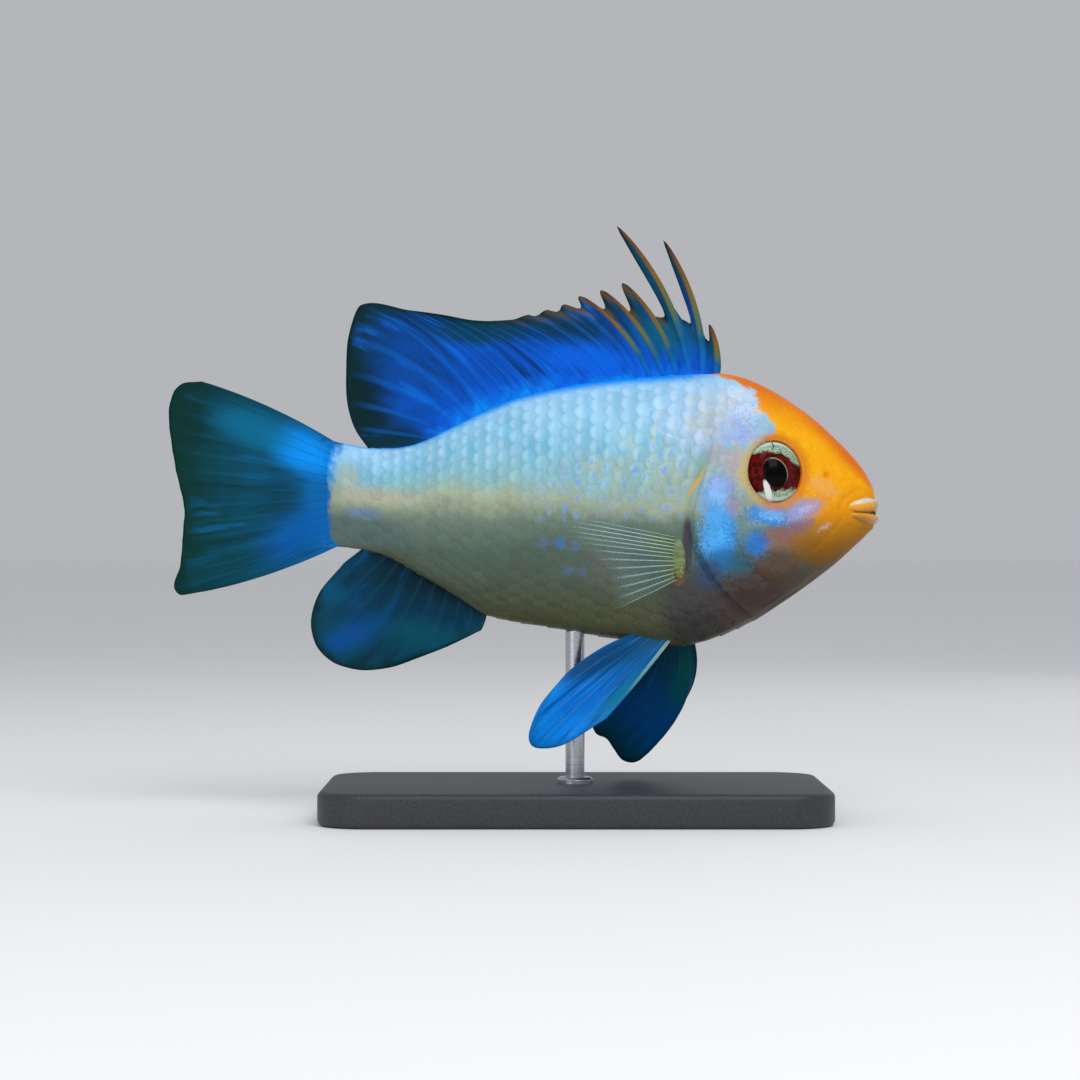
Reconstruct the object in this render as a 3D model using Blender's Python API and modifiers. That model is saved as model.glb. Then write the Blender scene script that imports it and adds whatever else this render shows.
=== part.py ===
"""Life-size model of an electric blue ram, a small deep-bodied cichlid, swimming above a plain display stand.

Sizes are millimetres, and MM turns them into Blender's metres. The fish heads towards +X, its back is +Z and
its left side is +Y. Heights on the fish are measured from its long axis, which runs from the mouth to the
tail, and AXIS_HEIGHT lifts that axis above the floor.
"""

import math
from dataclasses import dataclass, field
from typing import Callable

import bmesh
import bpy
from mathutils import Vector

MM = 0.001
AXIS_HEIGHT = 26.1
GAP = 0.3

# The body's outline, as (distance along the axis, value) from the tail's root to the snout.
BACK = [(-16.0, 5.5), (-12.2, 4.85), (-9.0, 5.15), (-5.4, 6.8), (-2.5, 8.2), (0.5, 9.3), (6.0, 10.35),
        (11.0, 10.8), (16.5, 11.0), (19.9, 10.1), (23.9, 7.65), (26.9, 4.95), (28.6, 3.0), (29.5, 1.3)]
BELLY = [(-16.0, -3.6), (-11.7, -4.3), (-8.5, -6.0), (-5.2, -8.0), (-2.8, -9.4), (3.0, -10.5),
         (8.9, -11.5), (13.5, -11.95), (17.9, -10.6), (21.9, -8.2), (25.9, -5.3), (28.4, -3.0), (29.4, -1.95)]
HALF_WIDTH = [(-16.0, 0.75), (-12.0, 1.5), (-6.0, 3.0), (0.0, 4.2), (6.0, 4.95), (11.0, 5.1),
              (15.0, 4.95), (19.0, 4.5), (23.0, 3.6), (26.0, 2.8), (28.0, 2.1), (29.5, 1.35)]
WIDEST = [(-16.0, 0.9), (-6.0, -0.4), (6.0, -1.0), (15.0, -1.2), (22.0, -0.6), (29.5, -0.5)]
SNOUT_END = 29.5
STEM_END = -16.0
STEM_START = -9.5
SECTION_POWER = 1.12
RING_POINTS = 36

# The tail swings to the fish's left behind this point, and its last part runs straight.
SWING_START = -2.0
SWING_END = -18.0
SWING_AT_END = 1.2

# The gill cover's rear edge, from above the nape to below the throat, and how far it stands proud.
GILL_EDGE = [(16.7, 13.0), (16.2, 9.0), (15.4, 3.8), (14.3, 0.4), (14.1, -2.3),
             (15.0, -4.8), (16.3, -6.9), (18.2, -8.7), (20.8, -10.7), (22.6, -12.6)]
GILL_EDGE_STEPS = 3
GILL_SWELL = 0.3
SWELL_REAR = 15.0
SWELL_FRONT = 25.0
HEAD_LOFT_START = 12.0
TORSO_LOFT_END = 23.5
CUTTER_HALF_DEPTH = 9.0
CUTTER_REACH = 40.0

EYE_CENTRE = (20.95, 2.7)
EYE_RADIUS = 2.55
EYE_HALF_THICKNESS = 1.75
EYE_SINK = 0.95

MOUTH_CORNER = (27.2, 2.2, -0.45)
UPPER_LIP_FRONT = (29.46, -0.08)
LOWER_LIP_FRONT = (29.45, -1.32)
UPPER_LIP_RADIUS = 0.62
LOWER_LIP_RADIUS = 0.46
LIP_CORNER_SHARE = 0.6
LIP_POINTS = 13
MOUTH_SLIT = [(27.5, -0.45), (31.5, -1.0), (31.5, -0.72)]
NOSTRIL_PLACE = (25.4, 2.4)
NOSTRIL_RADIUS = 0.36

# A fin's solid is thickest along its rays, thinner in the membrane and thinnest at the free tips.
RAY_THICKNESS = 0.9
MEMBRANE_THICKNESS = 0.5
TIP_THICKNESS = 0.34
COLUMNS_PER_RAY = 3
SPINE_ROOT_RADIUS = 0.48
SPINE_TIP_RADIUS = 0.2
SPINE_START = 0.08
SPINE_STEPS = 10
SPINE_SIDES = 3
ROOT_SINK = 0.6

BASE_SIZE = (42.0, 24.0, 2.8)
BASE_CORNER = 4.0
BASE_EDGE = 0.35
ROD_AT = 4.5
ROD_RADIUS = 0.8
ROD_SOCKET_DEPTH = 1.6


def clear_scene():
    """Removes the startup objects."""
    for obj in list(bpy.data.objects):
        bpy.data.objects.remove(obj)


def new_collection(name):
    """A collection linked to the scene."""
    collection = bpy.data.collections.new(name)
    bpy.context.scene.collection.children.link(collection)
    return collection


def move_to(collection, obj):
    """Links an object to one collection only."""
    for old in list(obj.users_collection):
        old.objects.unlink(obj)
    collection.objects.link(obj)


def material(name, colour, roughness, metallic=0.0):
    """A Principled material in one colour."""
    made = bpy.data.materials.new(name)
    made.use_nodes = True
    shader = made.node_tree.nodes["Principled BSDF"]
    shader.inputs["Base Color"].default_value = (*colour, 1.0)
    shader.inputs["Roughness"].default_value = roughness
    shader.inputs["Metallic"].default_value = metallic
    made.diffuse_color = (*colour, 1.0)
    return made


def smooth(stations, x):
    """Value at x on the smooth curve through stations, which are (x, value) with x rising."""
    places = [station[0] for station in stations]
    values = [station[1] for station in stations]
    last = len(stations) - 1
    x = min(max(x, places[0]), places[last])
    i = 0
    while i < last - 1 and x > places[i + 1]:
        i += 1

    def slope(k):
        before, after = max(k - 1, 0), min(k + 1, last)
        return (values[after] - values[before]) / (places[after] - places[before])

    width = places[i + 1] - places[i]
    t = (x - places[i]) / width
    return ((2 * t**3 - 3 * t**2 + 1) * values[i] + (t**3 - 2 * t**2 + t) * width * slope(i)
            + (3 * t**2 - 2 * t**3) * values[i + 1] + (t**3 - t**2) * width * slope(i + 1))


def smooth_point(stations, place):
    """Point at place on the smooth curve through stations, which are (place, x, y, z)."""
    return Vector([smooth([(s[0], s[k]) for s in stations], place) for k in (1, 2, 3)])


def smoothstep(low, high, x):
    """0 up to low, 1 from high, and an even rise between."""
    t = min(max((x - low) / (high - low), 0.0), 1.0)
    return t * t * (3 - 2 * t)


def swing(x):
    """How far the swimming tail has moved to the fish's left at x."""
    t = max(SWING_START - x, 0.0) / (SWING_START - SWING_END)
    return SWING_AT_END * (t * t if t < 1 else 2 * t - 1)


def head_swell(x):
    """How much the gill cover widens the head at x."""
    return GILL_SWELL * (1 - smoothstep(SWELL_REAR, SWELL_FRONT, x))


def no_swell(x):
    """The body's own width, without a gill cover."""
    return 0.0


def body_point(x, angle, swell=0.0):
    """Point on the body at x, at an angle from the back over the left side; swell widens its sides."""
    middle = smooth(WIDEST, x)
    reach = smooth(BACK, x) - middle if math.cos(angle) > 0 else middle - smooth(BELLY, x)
    side = abs(math.sin(angle)) ** SECTION_POWER * math.copysign(1, math.sin(angle))
    y = side * (smooth(HALF_WIDTH, x) + swell * abs(side))
    return Vector((x, y + swing(x), middle + reach * math.cos(angle)))


def body_normal(x, angle):
    """Outward direction of the body's surface."""
    step = 0.02
    along = body_point(x + step, angle) - body_point(x - step, angle)
    around = body_point(x, angle + step) - body_point(x, angle - step)
    return along.cross(around).normalized()


def angle_at_height(x, z):
    """Angle on the left side at which the body's surface at x has height z."""
    middle = smooth(WIDEST, x)
    reach = smooth(BACK, x) - middle if z > middle else middle - smooth(BELLY, x)
    return math.acos(min(max((z - middle) / reach, -1.0), 1.0))


def to_world(point):
    """A point given in millimetres from the fish's axis, as metres above the floor."""
    return Vector((point[0], point[1], point[2] + AXIS_HEIGHT)) * MM


def mesh_object(name, points, faces, collection):
    """An object with a mesh of its own from points in millimetres on the fish."""
    mesh = bpy.data.meshes.new(name)
    mesh.from_pydata([to_world(p) for p in points], [], faces)
    made = bpy.data.objects.new(name, mesh)
    collection.objects.link(made)
    return made


def weld_outward(mesh, distance=0.00001):
    """Welds doubled points and turns a closed mesh's faces outwards."""
    work = bmesh.new()
    work.from_mesh(mesh)
    bmesh.ops.remove_doubles(work, verts=work.verts, dist=distance)
    bmesh.ops.recalc_face_normals(work, faces=work.faces)
    work.to_mesh(mesh)
    work.free()


def as_helper(obj):
    """Marks an object as a cutter or an inner shape, so that it isn't a part of the model."""
    obj.hide_render = True
    obj.display_type = "WIRE"
    return obj


def boolean(obj, other, operation):
    """Adds a live Boolean with the EXACT solver."""
    modifier = obj.modifiers.new(f"{operation.lower()} {other.name}", "BOOLEAN")
    modifier.operation = operation
    modifier.solver = "EXACT"
    modifier.object = other


def shade(obj, degrees=35.0):
    """Smooth shading with sharp edges kept."""
    obj.data.shade_smooth()
    obj.data.set_sharp_from_angle(angle=math.radians(degrees))


def body_loft(name, places, swell_at, grow, collection):
    """A closed length of the body, lofted through sections at places and larger by grow all round."""
    points, faces = [], []
    for x in places:
        for k in range(RING_POINTS):
            angle = 2 * math.pi * k / RING_POINTS
            point = body_point(x, angle, swell_at(x))
            if grow:
                point += body_normal(x, angle) * grow
            points.append(point)
    for i in range(len(places) - 1):
        near, far = i * RING_POINTS, (i + 1) * RING_POINTS
        for k in range(RING_POINTS):
            following = (k + 1) % RING_POINTS
            faces.append((near + k, near + following, far + following, far + k))
    for start in (0, (len(places) - 1) * RING_POINTS):
        ring = points[start:start + RING_POINTS]
        points.append(sum(ring, Vector((0, 0, 0))) / RING_POINTS)
        hub = len(points) - 1
        for k in range(RING_POINTS):
            faces.append((start + k, start + (k + 1) % RING_POINTS, hub))
    made = mesh_object(name, points, faces, collection)
    weld_outward(made.data)
    return made


def spaced(start, end, count, crowd=1.0):
    """count places from start to end, closer together near the end where crowd is over 1."""
    return [end + (start - end) * (1 - i / (count - 1)) ** crowd for i in range(count)]


def mesh_from_curve(curve_object, collection):
    """Replaces a curve object by a welded mesh object of the same name and place."""
    graph = bpy.context.evaluated_depsgraph_get()
    mesh = bpy.data.meshes.new_from_object(curve_object.evaluated_get(graph))
    name, place = curve_object.name, curve_object.matrix_world.copy()
    bpy.data.objects.remove(curve_object)
    weld_outward(mesh)
    made = bpy.data.objects.new(name, mesh)
    made.matrix_world = place
    collection.objects.link(made)
    return made


def slab(name, outline, half_depth, collection):
    """A closed slab from an outline of (x, z) on the fish, reaching half_depth to each side of its middle."""
    curve = bpy.data.curves.new(name, "CURVE")
    curve.dimensions = "2D"
    curve.fill_mode = "BOTH"
    curve.extrude = half_depth * MM
    spline = curve.splines.new("POLY")
    spline.points.add(len(outline) - 1)
    for point, (x, z) in zip(spline.points, outline):
        point.co = (x * MM, (z + AXIS_HEIGHT) * MM, 0, 1)
    spline.use_cyclic_u = True
    made = bpy.data.objects.new(name, curve)
    made.rotation_euler = (math.pi / 2, 0, 0)
    collection.objects.link(made)
    bpy.context.view_layer.update()
    return as_helper(mesh_from_curve(made, collection))


def gill_line(offset):
    """The gill cover's rear edge as (x, z) points from top to bottom, moved forwards by offset."""
    stations = [(k, x, 0.0, z) for k, (x, z) in enumerate(GILL_EDGE)]
    line = []
    for i in range((len(GILL_EDGE) - 1) * GILL_EDGE_STEPS + 1):
        place = i / GILL_EDGE_STEPS
        here = smooth_point(stations, place)
        along = (smooth_point(stations, place + 0.05) - smooth_point(stations, place - 0.05)).normalized()
        line.append((here.x - along.z * offset, here.z + along.x * offset))
    return line


def eye_frame(side):
    """Centre of an eye and the direction it faces; side is 1 for the left and -1 for the right."""
    x, z = EYE_CENTRE
    angle = angle_at_height(x, z)
    facing = body_normal(x, angle)
    centre = body_point(x, angle, head_swell(x)) - facing * EYE_SINK
    return Vector((centre.x, centre.y * side, centre.z)), Vector((facing.x, facing.y * side, facing.z))


def eyeball(name, side, grow, collection):
    """A flattened ball that faces sideways, larger by grow all round."""
    centre, facing = eye_frame(side)
    bpy.ops.mesh.primitive_uv_sphere_add(segments=24, ring_count=14, radius=1.0)
    made = bpy.context.object
    made.name = name
    move_to(collection, made)
    wide, deep = (EYE_RADIUS + grow) * MM, (EYE_HALF_THICKNESS + grow) * MM
    turn = facing.to_track_quat("Z", "Y").to_matrix()
    for vertex in made.data.vertices:
        flat = Vector((vertex.co.x * wide, vertex.co.y * wide, vertex.co.z * deep))
        vertex.co = turn @ flat + to_world(centre)
    return made


def lip(name, front, radius, collection):
    """One lip as a tapered tube that runs from corner to corner of the mouth round the snout."""
    curve = bpy.data.curves.new(name, "CURVE")
    curve.dimensions = "3D"
    curve.bevel_depth = MM
    curve.bevel_resolution = 2
    curve.use_fill_caps = True
    spline = curve.splines.new("POLY")
    spline.points.add(LIP_POINTS - 1)
    corner_x, corner_y, corner_z = MOUTH_CORNER
    for i, point in enumerate(spline.points):
        turn = math.pi * (i / (LIP_POINTS - 1) - 0.5)
        bow = math.cos(turn)
        x = corner_x + (front[0] - corner_x) * bow
        z = corner_z + (front[1] - corner_z) * bow
        point.co = (*to_world((x, corner_y * math.sin(turn), z)), 1)
        point.radius = radius * (LIP_CORNER_SHARE + (1 - LIP_CORNER_SHARE) * bow)
    made = bpy.data.objects.new(name, curve)
    collection.objects.link(made)
    bpy.context.view_layer.update()
    return as_helper(mesh_from_curve(made, collection))


def nostril(name, side, collection):
    """A small ball that cuts one nostril's pit."""
    x, z = NOSTRIL_PLACE
    place = body_point(x, angle_at_height(x, z), head_swell(x))
    bpy.ops.mesh.primitive_ico_sphere_add(
        subdivisions=2, radius=NOSTRIL_RADIUS * MM, location=to_world((place.x, place.y * side, place.z)))
    made = bpy.context.object
    made.name = name
    move_to(collection, made)
    return as_helper(made)


def build_head(parts, cutters, finish):
    """The head back to the gill cover's edge, with lips, mouth, nostrils and eye sockets."""
    head = body_loft("head", spaced(HEAD_LOFT_START, SNOUT_END, 22, 1.35), head_swell, 0.0, parts)
    head.data.materials.append(finish)
    behind = [(-CUTTER_REACH, -CUTTER_REACH), *reversed(gill_line(GAP / 2)), (-CUTTER_REACH, CUTTER_REACH)]
    boolean(head, lip("upper lip", UPPER_LIP_FRONT, UPPER_LIP_RADIUS, cutters), "UNION")
    boolean(head, lip("lower lip", LOWER_LIP_FRONT, LOWER_LIP_RADIUS, cutters), "UNION")
    boolean(head, slab("behind the gill cover", behind, CUTTER_HALF_DEPTH, cutters), "DIFFERENCE")
    boolean(head, slab("mouth slit", MOUTH_SLIT, CUTTER_HALF_DEPTH, cutters), "DIFFERENCE")
    for side, word in ((1, "left"), (-1, "right")):
        boolean(head, as_helper(eyeball(f"{word} socket", side, GAP, cutters)), "DIFFERENCE")
        boolean(head, nostril(f"{word} nostril", side, cutters), "DIFFERENCE")
    shade(head)
    return [head]


def build_trunk(parts, cutters, finish):
    """The torso behind the gill cover and the stem that carries the tail fin."""
    torso = body_loft("torso", spaced(TORSO_LOFT_END, STEM_START + GAP, 27), no_swell, 0.0, parts)
    ahead = [(CUTTER_REACH, CUTTER_REACH), *gill_line(-GAP / 2), (CUTTER_REACH, -CUTTER_REACH)]
    boolean(torso, slab("ahead of the gill cover", ahead, CUTTER_HALF_DEPTH, cutters), "DIFFERENCE")
    stem = body_loft("tail_stem", spaced(STEM_START, STEM_END, 9), no_swell, 0.0, parts)
    for obj in (torso, stem):
        obj.data.materials.append(finish)
        shade(obj)
    return [torso, stem]


def build_eyes(parts, finish):
    """Both eyes, sunk in their sockets."""
    eyes = []
    for side, word in ((1, "left"), (-1, "right")):
        eye = eyeball(f"eye_{word}", side, 0.0, parts)
        eye.data.materials.append(finish)
        shade(eye, 60.0)
        eyes.append(eye)
    return eyes


@dataclass
class Fin:
    """A fin whose rays run from root(ray) to the curve through tips.

    Between two rays the membrane ends on the curve through edges, or where there is none just inside the
    tips, by the share scallop. Behind a ray that stands out, a flap falls to the edge, faster with a higher
    number in falls, and clear is the share of such a ray that stands clear of the membrane. lean bows the
    rays within the fin, as a share of their length, arch bows them sideways, and wave is the height of the
    ripple at the free edge.
    """

    rays: int
    root: Callable
    tips: list
    edges: list = None
    falls: dict = field(default_factory=dict)
    clear: dict = field(default_factory=dict)
    scallop: float = 0.03
    lean: float = 0.0
    arch: float = 0.0
    wave: float = 0.0
    ripples: float = 1.5
    rows: int = 6

    def end(self, ray):
        """Where the fin ends along a ray, or between two rays for a broken ray number."""
        whole = int(ray + 1e-6)
        part = ray - whole
        if self.edges is None:
            dip = 1 - self.scallop * math.sin(math.pi * part)
            return self.root(ray).lerp(smooth_point(self.tips, ray), dip)
        rise = smooth_point(self.tips, whole) - smooth_point(self.edges, whole)
        return smooth_point(self.edges, ray) + rise * max(1 - part / 0.85, 0.0) ** self.falls.get(whole, 1.3)

    def point(self, ray, t):
        """Point at share t along a ray."""
        start, end = self.root(ray), self.end(ray)
        chord = end - start
        bow = Vector((chord.z * self.lean, self.arch, -chord.x * self.lean)) * 4 * t * (1 - t)
        ripple = self.wave * t * t * math.sin(2 * math.pi * self.ripples * ray / self.rays)
        here = start + chord * t + bow
        return here + Vector((0, ripple + swing(here.x), 0))

    def reach(self, column):
        """Share of a column's length that the membrane covers."""
        return 1.0 - self.clear.get(column / COLUMNS_PER_RAY, 0.0)

    def thickness(self, column, row):
        """Thickness of the solid at a column and row of the sheet."""
        if row == self.rows:
            return TIP_THICKNESS
        if column % COLUMNS_PER_RAY:
            return MEMBRANE_THICKNESS
        return RAY_THICKNESS + (MEMBRANE_THICKNESS - RAY_THICKNESS) * (row / (self.rows - 1)) ** 2

    def build(self, name, finish, parts, first_ray=0, last_ray=None):
        """A sheet of triangles from first_ray to last_ray, made solid by a varying thickness."""
        first = first_ray * COLUMNS_PER_RAY
        last = (self.rays - 1 if last_ray is None else last_ray) * COLUMNS_PER_RAY
        columns = range(first, last + 1 if last_ray is None else last)
        points = [self.point(column / COLUMNS_PER_RAY, row / self.rows * self.reach(column))
                  for column in columns for row in range(self.rows + 1)]
        faces = []
        step = self.rows + 1
        for i in range(len(columns) - 1):
            for row in range(self.rows):
                a, b = i * step + row, (i + 1) * step + row
                faces += [(a, b, b + 1), (a, b + 1, a + 1)]
        made = mesh_object(name, points, faces, parts)
        made.data.materials.append(finish)
        group = made.vertex_groups.new(name="thickness")
        for i, column in enumerate(columns):
            for row in range(step):
                group.add([i * step + row], self.thickness(column, row) / RAY_THICKNESS, "REPLACE")
        solid = made.modifiers.new("solid", "SOLIDIFY")
        solid.thickness = RAY_THICKNESS * MM
        solid.offset = 0.0
        solid.vertex_group = group.name
        shade(made, 50.0)
        return made

    def spine(self, name, ray, collection):
        """A round spine along a ray, tapering from just above the root to the tip."""
        curve = bpy.data.curves.new(name, "CURVE")
        curve.dimensions = "3D"
        curve.bevel_depth = MM
        curve.bevel_resolution = SPINE_SIDES
        curve.use_fill_caps = True
        line = curve.splines.new("POLY")
        line.points.add(SPINE_STEPS)
        for i, point in enumerate(line.points):
            share = i / SPINE_STEPS
            point.co = (*to_world(self.point(ray, SPINE_START + (1 - SPINE_START) * share)), 1)
            point.radius = SPINE_ROOT_RADIUS + (SPINE_TIP_RADIUS - SPINE_ROOT_RADIUS) * share
        made = bpy.data.objects.new(name, curve)
        collection.objects.link(made)
        bpy.context.view_layer.update()
        return mesh_from_curve(made, collection)


def fuse(obj, helpers):
    """Joins the objects of the collection helpers to obj for good, as one closed surface."""
    joint = obj.modifiers.new("join", "BOOLEAN")
    joint.operation = "UNION"
    joint.solver = "EXACT"
    joint.operand_type = "COLLECTION"
    joint.collection = helpers
    graph = bpy.context.evaluated_depsgraph_get()
    joined = bpy.data.meshes.new_from_object(obj.evaluated_get(graph))
    obj.modifiers.clear()
    obj.data = joined
    for helper in list(helpers.objects):
        bpy.data.objects.remove(helper)
    bpy.data.collections.remove(helpers)
    keep_largest(joined)
    shade(obj, 50.0)


def keep_largest(mesh):
    """Keeps only the connected surface with the most corners."""
    work = bmesh.new()
    work.from_mesh(mesh)
    left = set(work.verts)
    groups = []
    while left:
        group, front = set(), [left.pop()]
        while front:
            vertex = front.pop()
            group.add(vertex)
            linked = {edge.other_vert(vertex) for edge in vertex.link_edges} & left
            left -= linked
            front += linked
        groups.append(group)
    largest = max(groups, key=len)
    bmesh.ops.delete(work, geom=[v for v in work.verts if v not in largest], context="VERTS")
    work.to_mesh(mesh)
    work.free()


def between(first, last, rays):
    """A function that spreads the rays' roots evenly from first to last."""
    return lambda ray: first + (last - first) * ray / (rays - 1)


def dorsal_fin():
    """The long fin on the back: 14 spines, the second and third drawn out, then 10 soft rays."""
    rays = 24
    place = between(16.3, -7.6, rays)
    rear = [(9, -1.0, 0, 15.45), (11, -3.9, 0, 15.4), (13, -6.7, 0, 15.9), (15, -9.4, 0, 16.3),
            (18, -13.5, 0, 16.8), (19, -14.55, 0, 14.2), (20, -14.75, 0, 11.1), (21, -14.6, 0, 8.5),
            (22, -13.8, 0, 6.8), (23, -12.3, 0, 5.95)]
    tips = [(0, 15.75, 0, 15.1), (1, 11.9, 0, 22.2), (2, 8.0, 0, 23.45), (3, 8.6, 0, 18.6), (4, 6.8, 0, 18.0),
            (5, 5.0, 0, 17.5), (6, 3.7, 0, 16.8), (8, 0.6, 0, 15.9), *rear]
    edges = [(0, 16.1, 0, 12.9), (0.85, 15.5, 0, 13.9), (1.85, 13.6, 0, 15.5), (2.85, 11.4, 0, 15.75),
             (3.85, 9.1, 0, 16.2), (5.85, 4.9, 0, 16.45), (7.85, 1.2, 0, 15.8), *rear]
    return Fin(rays, lambda ray: Vector((place(ray), 0, smooth(BACK, place(ray)) + GAP)), tips, edges,
               falls={0: 2.0, 1: 4.0, 2: 4.0}, clear={0: 0.35, 1: 0.6, 2: 0.55},
               lean=0.08, wave=0.5, ripples=1.6, rows=7)


def anal_fin():
    """The fin under the tail stem: 3 short spines, then 8 soft rays."""
    rays = 11
    place = between(-3.1, -13.2, rays)
    tips = [(0, -3.5, 0, -10.6), (1, -4.7, 0, -11.2), (2, -6.4, 0, -12.0), (3, -8.6, 0, -12.85),
            (4, -10.9, 0, -13.65), (5, -13.4, 0, -13.9), (6, -15.7, 0, -13.3), (7, -17.2, 0, -11.9),
            (8, -17.7, 0, -9.8), (9, -17.0, 0, -7.4), (10, -15.0, 0, -5.2)]
    return Fin(rays, lambda ray: Vector((place(ray), 0, smooth(BELLY, place(ray)) - GAP)), tips,
               lean=-0.05, wave=0.45, ripples=1.3)


def tail_fin():
    """The tail fin, broad and nearly straight-ended with round corners."""
    rays = 14
    place = between(smooth(BACK, STEM_END) - 0.25, smooth(BELLY, STEM_END) + 0.25, rays)
    tips = [(0, -27.1, 0, 10.45), (1, -28.8, 0, 10.3), (2, -29.7, 0, 9.3), (3, -30.05, 0, 7.4),
            (5, -29.4, 0, 3.3), (7, -28.55, 0, -0.2), (8, -28.6, 0, -1.9), (10, -28.9, 0, -5.2),
            (11, -29.45, 0, -6.7), (12, -29.0, 0, -7.6), (13, -27.5, 0, -7.4)]
    return Fin(rays, lambda ray: Vector((STEM_END - GAP, 0, place(ray))), tips,
               scallop=0.02, wave=0.6, ripples=1.2, rows=7)


def pelvic_fin(side, front, rear, tips, lean):
    """One fin of the pair under the breast: a spine and 5 soft rays, hanging out and back."""
    rays = 6
    place = between(front, rear, rays)
    angle = math.pi - 0.27

    def root(ray):
        foot = body_point(place(ray), angle) - body_normal(place(ray), angle) * ROOT_SINK
        return Vector((foot.x, foot.y * side, foot.z))

    tips = [(ray, x, y * side, z) for ray, x, y, z in tips]
    return Fin(rays, root, tips, lean=lean, wave=0.15, ripples=1.0, scallop=0.05)


def pectoral_fin(side):
    """One fin of the pair behind the gill covers: a clear fan of rays held a little off the flank."""
    rays = 9
    height = between(-2.8, -6.1, rays)
    x = 13.1

    def root(ray):
        angle = angle_at_height(x, height(ray))
        foot = body_point(x, angle) - body_normal(x, angle) * ROOT_SINK
        return Vector((foot.x, foot.y * side, foot.z))

    tips = [(0, 2.9, 7.0, -0.8), (2, 2.5, 7.4, -2.0), (4, 4.8, 7.7, -3.7), (6, 6.8, 7.8, -6.2),
            (8, 7.4, 7.4, -8.8)]
    tips = [(ray, tip_x, tip_y * side, tip_z) for ray, tip_x, tip_y, tip_z in tips]
    return Fin(rays, root, tips, arch=1.5 * side, wave=0.12, ripples=2.0, scallop=0.04)


def build_fins(parts, cutters, blue, clear):
    """All seven fins. The dorsal fin is parted behind its three long spines."""
    dorsal = dorsal_fin()
    front = dorsal.build("fin_dorsal_front", blue, parts, last_ray=3)
    spines = new_collection("spines")
    for ray in dorsal.clear:
        dorsal.spine(f"spine {ray + 1}", ray, spines)
    fuse(front, spines)
    fins = [
        front,
        dorsal.build("fin_dorsal_rear", blue, parts, first_ray=3),
        anal_fin().build("fin_anal", blue, parts),
        tail_fin().build("fin_tail", blue, parts)]
    right_tips = [(0, 6.9, 3.9, -17.8), (1, 3.5, 5.0, -19.8), (2, 1.2, 5.6, -20.0), (3, 0.65, 5.7, -18.9),
                  (4, 1.6, 5.0, -16.5), (5, 3.7, 3.7, -14.0)]
    left_tips = [(0, 12.5, 4.6, -18.1), (1, 10.7, 5.0, -20.6), (2, 9.25, 5.0, -21.7), (3, 7.9, 4.6, -20.7),
                 (4, 6.4, 4.0, -19.2), (5, 6.6, 3.2, -16.3)]
    paired = [
        pelvic_fin(-1, 12.6, 10.3, right_tips, 0.03).build("fin_pelvic_right", blue, parts),
        pelvic_fin(1, 13.6, 11.3, left_tips, 0.1).build("fin_pelvic_left", blue, parts),
        pectoral_fin(-1).build("fin_pectoral_right", clear, parts),
        pectoral_fin(1).build("fin_pectoral_left", clear, parts)]
    clearance = body_loft("clearance round the torso", spaced(TORSO_LOFT_END, STEM_START, 27),
                          no_swell, GAP, cutters)
    as_helper(clearance)
    for fin in paired:
        boolean(fin, clearance, "DIFFERENCE")
    return fins + paired


def build_base(parts, cutters, finish):
    """The flat base with round corners and a hole for the rod."""
    length, width, height = BASE_SIZE
    bpy.ops.mesh.primitive_cube_add(size=1.0)
    base = bpy.context.object
    base.name = "stand_base"
    for vertex in base.data.vertices:
        vertex.co = Vector((vertex.co.x * length + ROD_AT, vertex.co.y * width, (vertex.co.z + 0.5) * height)) * MM
    work = bmesh.new()
    work.from_mesh(base.data)
    upright = [e for e in work.edges if abs(e.verts[0].co.z - e.verts[1].co.z) > height * MM / 2]
    bmesh.ops.bevel(work, geom=upright, offset=BASE_CORNER * MM, segments=6, affect="EDGES", profile=0.5)
    work.to_mesh(base.data)
    work.free()
    base.data.materials.append(finish)
    move_to(parts, base)
    edge = base.modifiers.new("soft edge", "BEVEL")
    edge.width = BASE_EDGE * MM
    edge.segments = 2
    edge.limit_method = "ANGLE"
    edge.angle_limit = math.radians(60)
    bpy.ops.mesh.primitive_cylinder_add(
        vertices=24, radius=(ROD_RADIUS + GAP) * MM, depth=2 * ROD_SOCKET_DEPTH * MM,
        location=(ROD_AT * MM, 0, height * MM))
    socket = bpy.context.object
    socket.name = "rod socket"
    move_to(cutters, socket)
    boolean(base, as_helper(socket), "DIFFERENCE")
    shade(base)
    return base


def build_rod(parts, finish):
    """The upright rod from its hole in the base to just under the belly."""
    bottom = BASE_SIZE[2] - ROD_SOCKET_DEPTH + GAP
    belly = min(smooth(BELLY, ROD_AT - ROD_RADIUS), smooth(BELLY, ROD_AT + ROD_RADIUS))
    top = AXIS_HEIGHT + belly - GAP
    bpy.ops.mesh.primitive_cylinder_add(
        vertices=24, radius=ROD_RADIUS * MM, depth=(top - bottom) * MM,
        location=(ROD_AT * MM, 0, (top + bottom) / 2 * MM))
    rod = bpy.context.object
    rod.name = "stand_rod"
    rod.data.materials.append(finish)
    move_to(parts, rod)
    shade(rod)
    return rod


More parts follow.
